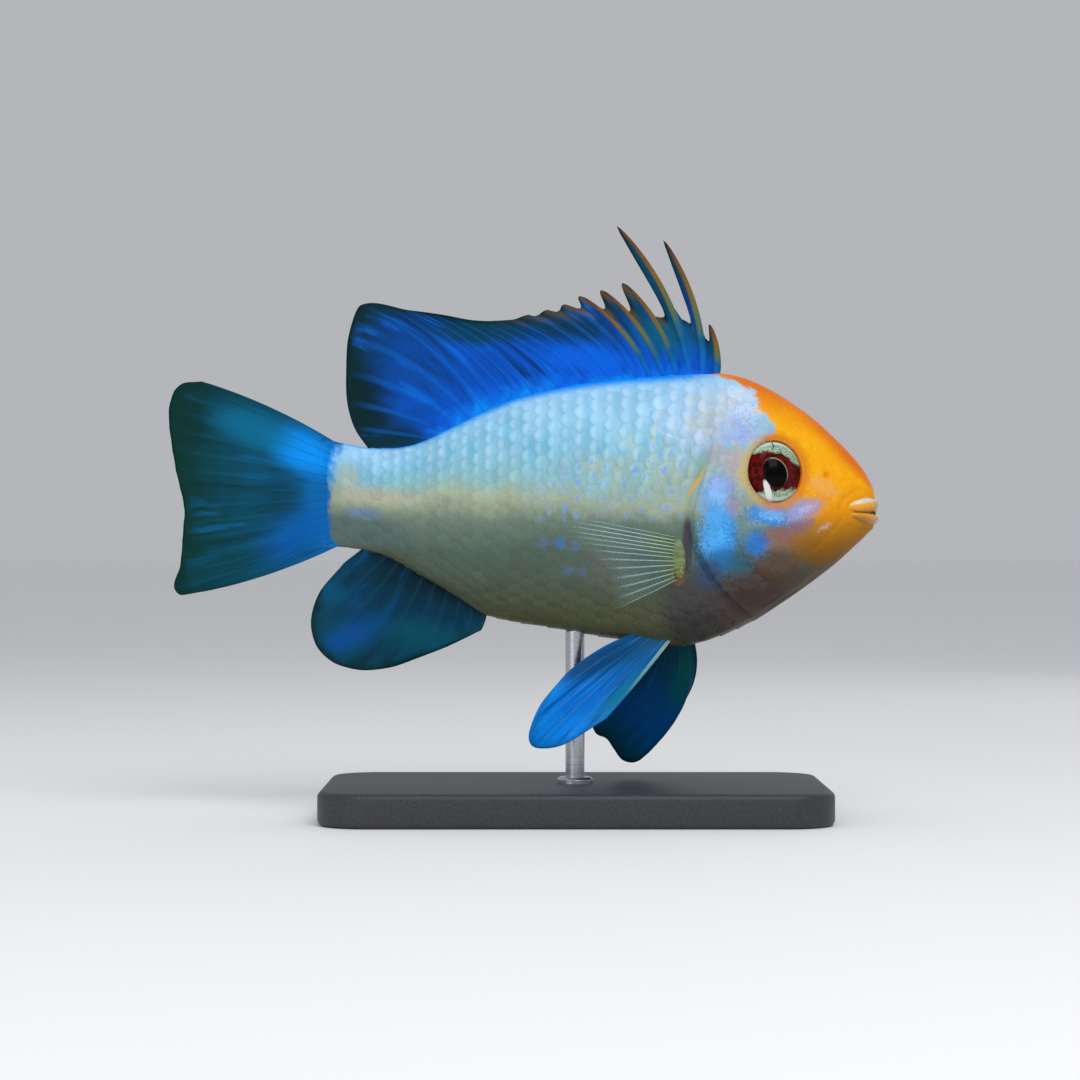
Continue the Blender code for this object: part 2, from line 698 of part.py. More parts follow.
def main():
    """Builds the whole model."""
    clear_scene()
    parts = new_collection("electric blue ram")
    cutters = new_collection("cutters")
    gold = material("orange head", (0.92, 0.48, 0.03), 0.38)
    skin = material("pale blue skin", (0.42, 0.66, 0.74), 0.35)
    iris = material("dark red eye", (0.16, 0.02, 0.02), 0.08)
    blue = material("blue fin", (0.0, 0.16, 0.5), 0.4)
    clear = material("clear fin", (0.55, 0.72, 0.66), 0.3)
    slate = material("dark stand", (0.03, 0.032, 0.036), 0.5)
    steel = material("steel rod", (0.6, 0.6, 0.62), 0.3, 1.0)
    pieces = build_head(parts, cutters, gold)
    pieces += build_trunk(parts, cutters, skin)
    pieces += build_eyes(parts, iris)
    pieces += build_fins(parts, cutters, blue, clear)
    pieces += [build_base(parts, cutters, slate), build_rod(parts, steel)]
    model = bpy.data.objects.new("electric_blue_ram", None)
    parts.objects.link(model)
    for piece in pieces:
        piece.parent = model


main()
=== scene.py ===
"""Looks of a life-size model of an electric blue ram, a small cichlid, swimming above a display stand.

Sizes are millimetres in the fish's own frame: X forward along the fish, Y to its left, and Z up from its long
axis, which AXIS_HEIGHT lifts above the floor. MM turns them into Blender's metres.
"""

import logging
import math
from collections.abc import Callable, Sequence
from dataclasses import dataclass, field
from enum import Enum

import bpy
import numpy as np
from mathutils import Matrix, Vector


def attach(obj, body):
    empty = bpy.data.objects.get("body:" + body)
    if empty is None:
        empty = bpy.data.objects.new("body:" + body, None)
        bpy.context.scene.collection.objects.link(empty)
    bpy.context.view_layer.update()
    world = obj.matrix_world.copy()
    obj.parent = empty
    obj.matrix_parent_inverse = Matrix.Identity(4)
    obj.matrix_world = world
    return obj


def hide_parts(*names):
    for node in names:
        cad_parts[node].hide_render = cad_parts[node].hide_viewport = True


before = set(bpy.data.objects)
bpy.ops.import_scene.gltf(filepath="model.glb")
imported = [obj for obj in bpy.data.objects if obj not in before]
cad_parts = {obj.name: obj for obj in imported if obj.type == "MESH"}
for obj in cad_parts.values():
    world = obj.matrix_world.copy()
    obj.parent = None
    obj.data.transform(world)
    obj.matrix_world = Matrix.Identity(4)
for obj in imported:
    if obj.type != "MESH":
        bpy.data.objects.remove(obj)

MM = 0.001
AXIS_HEIGHT = 26.1
LOG = logging.getLogger("ram")

Array = np.ndarray
Colour = tuple[float, float, float]
Line = tuple[tuple[float, float], ...]
Stops = tuple[tuple[float, Colour], ...]
Form = Callable[[Array, Array], Array]
Rule = Callable[[Array], Array]
Piece = bpy.types.Object


class Side(Enum):
    """The fish's two sides, as the sign of Y."""

    LEFT = 1
    RIGHT = -1

    @property
    def word(self) -> str:
        """The side's name in object names."""
        return self.name.lower()


def rgb(red: int, green: int, blue: int) -> Colour:
    """Linear colour from the 8-bit values of a display."""
    shares = (channel / 255 for channel in (red, green, blue))
    return tuple(s / 12.92 if s <= 0.04045 else ((s + 0.055) / 1.055) ** 2.4 for s in shares)


def stops(*marks: tuple[float, int, int, int]) -> Stops:
    """Places in rising order, each with the 8-bit values of its colour."""
    return tuple((place, rgb(*channels)) for place, *channels in marks)


def unit(vectors: Array) -> Array:
    """Vectors scaled to a length of 1."""
    return vectors / np.linalg.norm(vectors, axis=-1, keepdims=True)


def ease(low: float, high: float, value: Array | float) -> Array:
    """Smooth step from 0 at low to 1 at high."""
    share = np.clip((np.asarray(value, float) - low) / (high - low), 0.0, 1.0)
    return share * share * (3 - 2 * share)


@dataclass(frozen=True)
class Profile:
    """A smooth curve through stations, each a place and its value, in rising order of place."""

    stations: Line

    def __call__(self, place: Array | float) -> Array:
        """Reads the curve.

        Args:
            place: Where to read it. Places past an end take that end's value.

        Returns:
            The curve's value at each place.
        """
        knots, values = np.array(self.stations, float).T
        ahead = np.append(np.arange(1, len(knots)), len(knots) - 1)
        behind = np.append(0, np.arange(len(knots) - 1))
        slopes = (values[ahead] - values[behind]) / (knots[ahead] - knots[behind])
        held = np.clip(np.asarray(place, float), knots[0], knots[-1])
        k = np.clip(np.searchsorted(knots, held, side="right") - 1, 0, len(knots) - 2)
        width = knots[k + 1] - knots[k]
        t = (held - knots[k]) / width
        start = (2 * t**3 - 3 * t**2 + 1) * values[k] + (t**3 - 2 * t**2 + t) * width * slopes[k]
        end = (3 * t**2 - 2 * t**3) * values[k + 1] + (t**3 - t**2) * width * slopes[k + 1]
        return start + end


@dataclass(frozen=True)
class Track:
    """A smooth curve in space through stations, each a place and its X, Y and Z."""

    stations: tuple[tuple[float, float, float, float], ...]

    @classmethod
    def upright(cls, *stations: tuple[float, float, float]) -> "Track":
        """A curve in the fish's middle plane through stations, each a place and its X and Z."""
        return cls(tuple((place, x, 0.0, z) for place, x, z in stations))

    def __call__(self, place: Array) -> Array:
        """Points of the curve, one row for each place."""
        axes = [Profile(tuple((s[0], s[axis]) for s in self.stations)) for axis in (1, 2, 3)]
        return np.stack([axis(place) for axis in axes], -1)

    def mirrored(self) -> "Track":
        """The same curve on the fish's other side."""
        return Track(tuple((place, x, -y, z) for place, x, y, z in self.stations))


class Modeller:
    """Makes mesh pieces from Blender's primitives, whose corners it moves to a given form."""

    @staticmethod
    def select_only(obj: Piece) -> None:
        """Makes obj the only selected object, and the active one."""
        bpy.ops.object.select_all(action="DESELECT")
        obj.select_set(True)
        bpy.context.view_layer.objects.active = obj

    @staticmethod
    def add(name: str, primitive: Callable[..., set[str]], **sizes: float) -> Piece:
        """Adds one of Blender's primitives as the only selected object."""
        bpy.ops.object.select_all(action="DESELECT")
        primitive(**sizes)
        obj = bpy.context.object
        obj.name = name
        return obj

    @staticmethod
    def corners(obj: Piece) -> Array:
        """The mesh's corners, one row each."""
        flat = np.empty(len(obj.data.vertices) * 3)
        obj.data.vertices.foreach_get("co", flat)
        return flat.reshape(-1, 3)

    @classmethod
    def on_fish(cls, obj: Piece) -> Array:
        """The mesh's corners in the fish's frame."""
        return cls.corners(obj) / MM - (0, 0, AXIS_HEIGHT)

    @staticmethod
    def place(obj: Piece, points: Array) -> None:
        """Moves the mesh's corners to points in the fish's frame."""
        world = (points + (0, 0, AXIS_HEIGHT)) * MM
        obj.data.vertices.foreach_set("co", world.astype(np.float32).ravel())
        obj.data.update()

    @classmethod
    def face_outward(cls, obj: Piece) -> None:
        """Turns the faces of a closed mesh outwards."""
        cls.select_only(obj)
        bpy.ops.object.mode_set(mode="EDIT")
        bpy.ops.mesh.select_all(action="SELECT")
        bpy.ops.mesh.normals_make_consistent(inside=False)
        bpy.ops.object.mode_set(mode="OBJECT")

    @classmethod
    def ball(cls, name: str, around: int, along: int, form: Form) -> Piece:
        """A closed piece from a ball whose corners are moved.

        Args:
            name: The piece's name.
            around: Number of corners round the ball.
            along: Number of bands from pole to pole.
            form: Gives the points for shares from pole to pole and angles round the ball.

        Returns:
            The new object.
        """
        obj = cls.add(name, bpy.ops.mesh.primitive_uv_sphere_add, segments=around, ring_count=along, radius=1.0)
        start = cls.corners(obj)
        share = np.arccos(np.clip(start[:, 2], -1, 1)) / math.pi
        cls.place(obj, form(share, np.arctan2(start[:, 1], start[:, 0])))
        cls.face_outward(obj)
        bpy.ops.object.shade_smooth()
        return obj

    @classmethod
    def sheet(cls, name: str, columns: int, rows: int, form: Form) -> Piece:
        """An open sheet from a grid whose corners are moved.

        Args:
            name: The piece's name.
            columns: Number of faces across.
            rows: Number of faces along.
            form: Gives the points for shares across and shares along.

        Returns:
            The new object.
        """
        obj = cls.add(name, bpy.ops.mesh.primitive_grid_add, x_subdivisions=columns, y_subdivisions=rows, size=2.0)
        start = cls.corners(obj)
        cls.place(obj, form((start[:, 0] + 1) / 2, (start[:, 1] + 1) / 2))
        return obj

    @classmethod
    def apply(cls, obj: Piece, modifier: bpy.types.Modifier) -> None:
        """Applies a modifier for good."""
        cls.select_only(obj)
        bpy.ops.object.modifier_apply(modifier=modifier.name)

    @classmethod
    def thicken(cls, obj: Piece, thickness: Array) -> None:
        """Makes an open sheet solid, half of the thickness to each side.

        Args:
            obj: The sheet.
            thickness: The thickness at each corner, in millimetres.
        """
        most = float(thickness.max())
        group = obj.vertex_groups.new(name="thickness")
        for index, share in enumerate(thickness / most):
            group.add([index], float(share), "REPLACE")
        solid = obj.modifiers.new("solid", "SOLIDIFY")
        solid.thickness = most * MM
        solid.offset = 0.0
        solid.vertex_group = group.name
        cls.apply(obj, solid)
        bpy.ops.object.shade_smooth()

    @staticmethod
    def store(obj: Piece, name: str, values: Array) -> None:
        """Keeps one number for each corner as an attribute that a material can read."""
        attribute = obj.data.attributes.new(name, "FLOAT", "POINT")
        attribute.data.foreach_set("value", np.asarray(values, np.float32))


class Value:
    """A number in a material's node graph, with plain arithmetic."""

    def __init__(self, graph: "Graph", socket: bpy.types.NodeSocket) -> None:
        """Wraps an output socket of the graph."""
        self.graph = graph
        self.socket = socket

    def _math(self, operation: str, *others: "Value | float") -> "Value":
        """A Math node with this value first."""
        return self.graph.read("ShaderNodeMath", {"operation": operation}, dict(enumerate((self, *others))))

    def __add__(self, other: "Value | float") -> "Value":
        """Sum."""
        return self._math("ADD", other)

    __radd__ = __add__

    def __mul__(self, other: "Value | float") -> "Value":
        """Product."""
        return self._math("MULTIPLY", other)

    __rmul__ = __mul__

    def __sub__(self, other: "Value | float") -> "Value":
        """Difference."""
        return self._math("SUBTRACT", other)

    def __rsub__(self, other: float) -> "Value":
        """A number less this value."""
        return self.graph.read("ShaderNodeMath", {"operation": "SUBTRACT"}, {0: other, 1: self})

    def __truediv__(self, other: "Value | float") -> "Value":
        """Quotient."""
        return self._math("DIVIDE", other)

    def __pow__(self, power: float) -> "Value":
        """Power."""
        return self._math("POWER", power)

    def sine(self) -> "Value":
        """Sine of the value."""
        return self._math("SINE")

    def swing(self, span: float) -> "Value":
        """A share turned into a swing of half the span to both sides of 0."""
        return (self - 0.5) * span

    def size(self) -> "Value":
        """Value without its sign."""
        return self._math("ABSOLUTE")

    def nearest(self) -> "Value":
        """Distance to the nearest whole number."""
        return (self - self._math("ROUND")).size()

    def length(self, other: "Value") -> "Value":
        """Length of the flat vector of this value and another."""
        return (self * self + other * other) ** 0.5

    def most(self, other: "Value | float") -> "Value":
        """The greater of two values."""
        return self._math("MAXIMUM", other)

    def _step(self, low: float, high: float, first: float, last: float) -> "Value":
        """Smooth step from first at low to last at high."""
        inputs = {0: self, 1: low, 2: high, 3: first, 4: last}
        return self.graph.read("ShaderNodeMapRange", {"interpolation_type": "SMOOTHSTEP"}, inputs)

    def rise(self, low: float, high: float) -> "Value":
        """Smooth step from 0 at low to 1 at high."""
        return self._step(low, high, 0.0, 1.0)

    def fall(self, low: float, high: float) -> "Value":
        """Smooth step from 1 at low to 0 at high."""
        return self._step(low, high, 1.0, 0.0)


Input = Value | float | Sequence[float]


@dataclass(frozen=True)
class Patch:
    """A soft-edged oval of colour at a place on the fish, seen from its side."""

    x: float
    z: float
    length: float
    height: float
    colour: Colour
    amount: float = 1.0
    turn: float = 0.0
    ragged: float = 0.5
    soft: float = 0.3
    fine: bool = False


@dataclass(frozen=True)
class Blot(Patch):
    """A patch with a wide, nearly even edge."""

    ragged: float = 0.2
    soft: float = 0.6


@dataclass(frozen=True)
class Fleck(Patch):
    """A patch that breaks up into fine grains."""

    ragged: float = 1.0
    soft: float = 0.45
    fine: bool = True


class Graph:
    """The node graph of one material, with a Principled shader.

    A patch goes right through the fish, THROUGH. Its cover fades over FADE, in shares of the patch's half
    lengths, and its frayed edge never reaches past END.
    """

    THROUGH = 1e6
    FADE = (0.2, 1.3)
    END = (1.0, 1.6)

    def __init__(self, name: str, **constants: float) -> None:
        """Starts a material.

        Args:
            name: The material's name.
            constants: Values of the shader's sockets, with _ for a space in their names.
        """
        self.material = bpy.data.materials.new(name)
        self.material.use_nodes = True
        self.tree = self.material.node_tree
        self.shader = self.tree.nodes["Principled BSDF"]
        for socket, value in constants.items():
            self.shader.inputs[socket.replace("_", " ")].default_value = value
        coordinates = self.node("ShaderNodeTexCoord", {}, {})
        lifted = self.read("ShaderNodeVectorMath", {"operation": "SUBTRACT"},
                           {0: Value(self, coordinates.outputs["Object"]), 1: (0, 0, AXIS_HEIGHT * MM)})
        self.place = self.read("ShaderNodeVectorMath", {"operation": "SCALE"}, {0: lifted, 3: 1 / MM})
        self.x, self.y, self.z = self.split(self.place)

    def node(self, kind: str, settings: dict[str, object], inputs: dict[int | str, Input]) -> bpy.types.Node:
        """Adds a node.

        Args:
            kind: The node's type.
            settings: Properties of the node, set first.
            inputs: Values or links of its inputs, by name or number.

        Returns:
            The new node.
        """
        made = self.tree.nodes.new(kind)
        for setting, value in settings.items():
            setattr(made, setting, value)
        for key, value in inputs.items():
            self.feed(made.inputs[key], value)
        return made

    def feed(self, socket: bpy.types.NodeSocket, value: Input) -> None:
        """Links a value to an input socket, or sets the socket to a number or colour."""
        if isinstance(value, Value):
            self.tree.links.new(value.socket, socket)
        elif socket.type == "RGBA":
            socket.default_value = (*value, 1.0)
        else:
            socket.default_value = value

    def read(self, kind: str, settings: dict[str, object], inputs: dict[int | str, Input],
             output: int | str = 0) -> Value:
        """Adds a node and gives one of its outputs."""
        return Value(self, self.node(kind, settings, inputs).outputs[output])

    def split(self, vector: Value) -> tuple[Value, Value, Value]:
        """The three parts of a vector."""
        parts = self.node("ShaderNodeSeparateXYZ", {}, {0: vector})
        return tuple(Value(self, parts.outputs[i]) for i in range(3))

    def join(self, x: Input, y: Input, z: Input = 0.0) -> Value:
        """A vector from three parts."""
        return self.read("ShaderNodeCombineXYZ", {}, {0: x, 1: y, 2: z})

    def attribute(self, name: str) -> Value:
        """A number that the mesh carries."""
        return self.read("ShaderNodeAttribute", {"attribute_name": name}, {}, "Fac")

    def uv(self, name: str = "UVMap") -> tuple[Value, Value]:
        """The two parts of a UV map."""
        return self.split(self.read("ShaderNodeUVMap", {"uv_map": name}, {}))[:2]

    def noise(self, scale: float, detail: float = 3.0, vector: Value | None = None) -> Value:
        """Soft noise around 0.5.

        Args:
            scale: Grains for each millimetre, or for each unit of vector.
            detail: How many finer layers it has.
            vector: Where it is read, the place on the fish if not given.

        Returns:
            The noise.
        """
        inputs = {"Vector": vector or self.place, "Scale": scale, "Detail": detail}
        return self.read("ShaderNodeTexNoise", {}, inputs)

    def drawn(self, detail: float, along: float, up: float, shift: float = 0.0) -> Value:
        """Noise with grains of one size along the fish and another upwards, moved by shift to differ."""
        return self.noise(1.0, detail, self.join(self.x * along, self.z * up, shift))

    def cells(self, scale: float) -> Value:
        """Distance to the nearest of many scattered points."""
        return self.read("ShaderNodeTexVoronoi", {}, {"Vector": self.place, "Scale": scale})

    def mix(self, share: Input, first: Input, second: Input, blend: str = "MIX") -> Value:
        """Blends two colours.

        Args:
            share: How much of the second colour shows, from 0 to 1.
            first: The colour underneath.
            second: The colour on top.
            blend: Blender's name for the way they blend.

        Returns:
            The blended colour.
        """
        settings = {"data_type": "RGBA", "blend_type": blend}
        return self.read("ShaderNodeMix", settings, {0: share, 6: first, 7: second}, 2)

    def dim(self, colour: Value, share: Value) -> Value:
        """A colour times a number."""
        return self.mix(1.0, colour, self.join(share, share, share), "MULTIPLY")

    def ramp(self, value: Value, stops: Stops) -> Value:
        """Colours along a value.

        Args:
            value: What the colours follow.
            stops: Values in rising order, each with its colour.

        Returns:
            The colour at the value.
        """
        low, high = stops[0][0], stops[-1][0]
        made = self.node("ShaderNodeValToRGB", {}, {0: (value - low) / (high - low)})
        elements = made.color_ramp.elements
        while len(elements) < len(stops):
            elements.new(0.5)
        for element, (place, colour) in zip(elements, stops):
            element.position = (place - low) / (high - low)
            element.color = (*colour, 1.0)
        return Value(self, made.outputs[0])

    def curve(self, value: Value, points: Line) -> Value:
        """A curve drawn through points, read at value."""
        low, high = points[0][0], points[-1][0]
        made = self.node("ShaderNodeFloatCurve", {}, {1: (value - low) / (high - low)})
        least = min(p[1] for p in points)
        span = max(p[1] for p in points) - least
        line = made.mapping.curves[0].points
        while len(line) < len(points):
            line.new(0.5, 0.5)
        for point, (place, height) in zip(line, points):
            point.location = ((place - low) / (high - low), (height - least) / span)
        made.mapping.update()
        return Value(self, made.outputs[0]) * span + least

    def patch(self, under: Value, patch: Patch, grain: Value) -> Value:
        """Paints a patch of colour.

        Args:
            under: The colour underneath.
            patch: The patch.
            grain: Noise that frays its edge.

        Returns:
            The colour with the patch on it.
        """
        centred = self.read("ShaderNodeMapping", {"vector_type": "TEXTURE"}, {
            "Vector": self.place, "Location": (patch.x, 0.0, patch.z),
            "Rotation": (0.0, -math.radians(patch.turn), 0.0), "Scale": (patch.length, self.THROUGH, patch.height)})
        distance = self.read("ShaderNodeVectorMath", {"operation": "LENGTH"}, {0: centred}, "Value")
        cover = distance.fall(*self.FADE) + grain * (2 * patch.ragged)
        edge = 0.5 + patch.ragged
        cover = cover.rise(edge - patch.soft, edge + patch.soft) * distance.fall(*self.END)
        return self.mix(cover * patch.amount, under, patch.colour)

    def bump(self, height: Value, depth: float, under: bpy.types.Node | None = None) -> bpy.types.Node:
        """Feeds the shader a bumpy surface.

        Args:
            height: The height, from 0 to 1.
            depth: The height's size in millimetres.
            under: A coarser bump to add to.

        Returns:
            The Bump node.
        """
        made = self.node("ShaderNodeBump", {}, {"Height": height, "Distance": depth * MM, "Strength": 1.0})
        if under is not None:
            self.tree.links.new(under.outputs[0], made.inputs["Normal"])
        self.tree.links.new(made.outputs[0], self.shader.inputs["Normal"])
        return made

    def dress(self, obj: Piece, **inputs: Value) -> None:
        """Feeds values to the shader and gives the material to an object.

        Args:
            obj: The object.
            inputs: Values of the shader's sockets, with _ for a space in their names.
        """
        for socket, value in inputs.items():
            self.feed(self.shader.inputs[socket.replace("_", " ")], value)
        obj.data.materials.clear()
        obj.data.materials.append(self.material)


@dataclass(frozen=True)
class Crease:
    """A groove, or with a height over 0 a ridge, along a line on both sides of the head."""

    STEPS = 48
    FADE = 0.15

    line: Line
    height: float
    width: float

    def relief(self, x: Array, z: Array) -> Array:
        """Height of the crease at places seen from the side."""
        steps = np.linspace(0, len(self.line) - 1, self.STEPS)
        path = [Profile(tuple((i, point[axis]) for i, point in enumerate(self.line)))(steps) for axis in (0, 1)]
        distance = np.hypot(x[:, None] - path[0], z[:, None] - path[1])
        nearest = distance.argmin(1)
        share = nearest / (self.STEPS - 1)
        fade = ease(0.0, self.FADE, share) * ease(1.0, 1 - self.FADE, share)
        return self.height * fade * np.exp(-(distance.min(1) / self.width) ** 2)


@dataclass(frozen=True)
class Swelling:
    """A soft oval bulge, or with a height under 0 a hollow, on both sides of the head."""

    x: float
    z: float
    length: float
    depth: float
    height: float
    power: float = 2.0

    def relief(self, x: Array, z: Array) -> Array:
        """Height of the bulge at places seen from the side."""
        distance = np.hypot((x - self.x) / self.length, (z - self.z) / self.depth)
        return self.height * np.exp(-distance ** self.power)


@dataclass(frozen=True)
class Body:
    """The fish's body from its tail stem to its snout, as a smooth form with the head's relief on it."""

    back: Profile = Profile((
        (-17.4, 6.05), (-16.0, 5.5), (-12.2, 4.85), (-9.0, 5.15), (-5.4, 6.8), (-2.5, 8.2), (0.5, 9.3),
        (6.0, 10.35), (11.0, 10.8), (16.5, 11.0), (19.9, 10.1), (23.9, 7.65), (26.9, 4.95), (28.6, 3.0),
        (29.3, 1.75), (29.8, 0.9)))
    belly: Profile = Profile((
        (-17.4, -3.9), (-16.0, -3.6), (-11.7, -4.3), (-8.5, -6.0), (-5.2, -8.0), (-2.8, -9.4), (3.0, -10.5),
        (8.9, -11.5), (13.5, -11.95), (17.9, -10.6), (21.9, -8.2), (25.9, -5.3), (28.4, -3.05), (29.1, -2.35),
        (29.8, -1.75)))
    half_width: Profile = Profile((
        (-17.4, 0.02), (-16.8, 0.07), (-16.0, 0.34), (-15.0, 0.78), (-12.0, 1.5), (-6.0, 3.0), (0.0, 4.2),
        (6.0, 4.95), (11.0, 5.1), (15.0, 4.95), (19.0, 4.5), (23.0, 3.6), (26.0, 2.8), (28.0, 2.1), (29.1, 1.6),
        (29.8, 1.1)))
    widest: Profile = Profile((
        (-17.4, 1.1), (-16.0, 0.9), (-6.0, -0.4), (6.0, -1.0), (15.0, -1.2), (22.0, -0.6), (29.5, -0.5)))
    gill_edge: Profile = Profile((
        (-12.6, 22.6), (-10.7, 20.8), (-8.7, 18.2), (-6.9, 16.3), (-4.8, 15.0), (-2.3, 14.1), (0.4, 14.3),
        (3.8, 15.4), (9.0, 16.2), (13.0, 16.7)))
    section_power: float = 1.12
    swing_start: float = -2.0
    swing_length: float = 16.0
    swing_size: float = 1.2
    gill_place: float = 15.0
    gill_swell: float = 0.28
    gill_gap: float = 0.3
    gill_reach: float = 12.5
    body_inset: float = 0.12
    eye: tuple[float, float] = (20.95, 2.7)
    eye_radius: float = 2.69
    eye_narrowing: float = 0.9
    eye_fold: float = 0.07
    socket_depth: float = 1.7
    creases: tuple[Crease, ...] = (
        Crease(((17.9, 4.4), (17.55, 1.5), (17.5, -1.5), (17.9, -4.0), (18.9, -5.6), (20.6, -6.3), (22.8, -6.0)),
               -0.15, 0.17),
        Crease(((18.4, 3.6), (18.1, 1.3), (18.05, -1.4), (18.45, -3.6), (19.3, -4.9), (20.8, -5.6), (22.6, -5.4)),
               0.13, 0.35),
        Crease(((18.5, 0.2), (20.2, -0.9), (22.4, -1.1), (24.6, -0.6), (26.2, 0.3)), -0.1, 0.16),
        Crease(((26.4, -1.3), (26.5, -0.1), (27.2, 0.75), (28.5, 1.35)), -0.13, 0.16),
        Crease(((27.0, -0.7), (26.1, -1.9), (24.7, -3.3), (22.8, -4.6)), -0.13, 0.18),
        Crease(((26.9, -1.6), (28.0, -2.1), (29.1, -2.1)), -0.08, 0.14),
        Crease(((23.6, 4.6), (25.0, 3.7), (26.6, 3.2)), -0.04, 0.3),
        Crease(((21.8, -7.4), (20.0, -8.3), (18.4, -8.4)), -0.09, 0.14),
        Crease(((23.4, -6.9), (21.6, -8.0), (20.0, -9.2)), -0.09, 0.14),
        Crease(((25.2, -5.4), (23.0, -7.2), (21.6, -8.8)), -0.08, 0.14),
        Crease(((15.3, 6.0), (16.8, 6.4), (18.6, 6.3)), -0.07, 0.25))
    swellings: tuple[Swelling, ...] = (
        Swelling(20.6, -2.9, 2.2, 1.7, 0.14),
        Swelling(15.9, -1.5, 1.5, 3.2, 0.08),
        Swelling(22.6, 5.9, 1.8, 0.6, -0.06),
        Swelling(25.0, 1.2, 1.7, 1.0, 0.07),
        Swelling(25.4, 2.4, 0.24, 0.2, -0.42, 4.0),
        Swelling(24.9, 2.65, 0.2, 0.28, 0.08),
        Swelling(28.9, -0.75, 1.1, 0.16, -0.3, 4.0),
        *(Swelling(x, z, size, size, -0.1, 4.0) for x, z, size in (
            (25.0, -1.3, 0.12), (26.2, -2.6, 0.12), (24.9, -3.9, 0.12), (23.6, 0.0, 0.11), (22.4, 6.6, 0.12),
            (24.2, 4.9, 0.12))))

    def swing(self, x: Array) -> Array:
        """Sideways swing of the tail to the fish's left."""
        t = np.maximum(self.swing_start - x, 0) / self.swing_length
        return self.swing_size * np.where(t < 1, t * t, 2 * t - 1)

    def smooth(self, x: Array, angle: Array) -> Array:
        """Point of the smooth form at a place along the fish, angle 0 being the back and positive to the left."""
        middle = self.widest(x)
        up = np.cos(angle)
        reach = np.where(up > 0, self.back(x) - middle, middle - self.belly(x))
        side = np.sign(np.sin(angle)) * np.abs(np.sin(angle)) ** self.section_power
        return np.stack([x + 0 * side, side * self.half_width(x) + self.swing(x), middle + reach * up], -1)

    def level(self, x: Array, z: Array) -> Array:
        """Height of places on the body: 1 along the back's line, falling to -1 along the belly's."""
        middle = self.widest(x)
        reach = np.where(z > middle, self.back(x) - middle, middle - self.belly(x))
        return np.clip((z - middle) / reach, -1, 1)

    def along(self, station: Array, angle: Array) -> Array:
        """X of a station: the one at gill_place follows the gill cover's edge, and the others make way."""
        table = np.linspace(0, math.pi, 361)
        edge = np.full_like(table, self.gill_place)
        for _ in range(40):
            edge += 0.5 * (self.gill_edge(self.smooth(edge, table)[:, 2]) - edge)
        shift = np.interp(np.abs(angle), table, edge) - self.gill_place
        away = np.clip(np.abs(station - self.gill_place) / self.gill_reach, 0, 1)
        return station + shift * np.cos(away * math.pi / 2) ** 2

    def base(self, station: Array, angle: Array) -> Array:
        """Point of the smooth form at a station."""
        return self.smooth(self.along(station, angle), angle)

    def slopes(self, station: Array, angle: Array) -> tuple[Array, Array]:
        """How the smooth form moves with the station, and with the angle."""
        step = 0.01
        ahead = self.base(station + step, angle) - self.base(station - step, angle)
        around = self.base(station, angle + step) - self.base(station, angle - step)
        return ahead / (2 * step), around / (2 * step)

    def normal(self, station: Array, angle: Array) -> Array:
        """Outward direction of the smooth form at a station."""
        return unit(np.cross(*self.slopes(station, angle)))

    def relief(self, station: Array, angle: Array, point: Array) -> Array:
        """Height of the skin above the smooth form.

        Args:
            station: Stations of the places.
            angle: Angles of the places.
            point: Their points on the smooth form.

        Returns:
            The height at each place, below 0 in grooves.
        """
        x, z = point[:, 0], point[:, 2]
        flank = np.abs(np.sin(angle))
        edged = ease(6.8, 3.4, z) * ease(0.02, 0.25, flank)
        ahead = ease(self.gill_place, self.gill_place + 0.22, station)
        gap = -self.gill_gap * np.exp(-((station - self.gill_place + 0.25) / 0.3) ** 2) * edged
        gap *= ease(-10.8, -7.5, z) * (0.3 + 0.7 * ease(-7.5, -4.5, z))
        swell = self.gill_swell * flank * ease(25.0, 17.0, x)
        soft = swell * ease(12.0, 17.0, station)
        height = edged * swell * ahead + (1 - edged) * soft + gap
        height += -self.body_inset * ease(self.gill_place + 0.1, self.gill_place - 0.6, station)
        marks = sum(feature.relief(x, z) for feature in (*self.creases, *self.swellings))
        height += marks * ease(0.1, 0.4, flank)
        ring = np.hypot((x - self.eye[0]) / self.eye_narrowing, z - self.eye[1])
        height += self.eye_fold * np.exp(-((ring - self.eye_radius - 0.35) / 0.4) ** 2)
        return height - self.socket_depth * ease(self.eye_radius - 0.1, self.eye_radius - 0.45, ring)

    def skin(self, station: Array, angle: Array, height: Array | float = 0.0) -> Array:
        """Point of the skin at a station, or at a height above it."""
        point = self.base(station, angle)
        lift = self.relief(station, angle, point) + height
        return point + self.normal(station, angle) * lift[:, None]

    def side_point(self, x: Array | float, z: Array | float, side: Side) -> Array:
        """Point on the smooth form's side at a given X and Z."""
        x, z = np.atleast_1d(x).astype(float), np.atleast_1d(z).astype(float)
        return self.smooth(x, np.arccos(self.level(x, z)) * side.value)


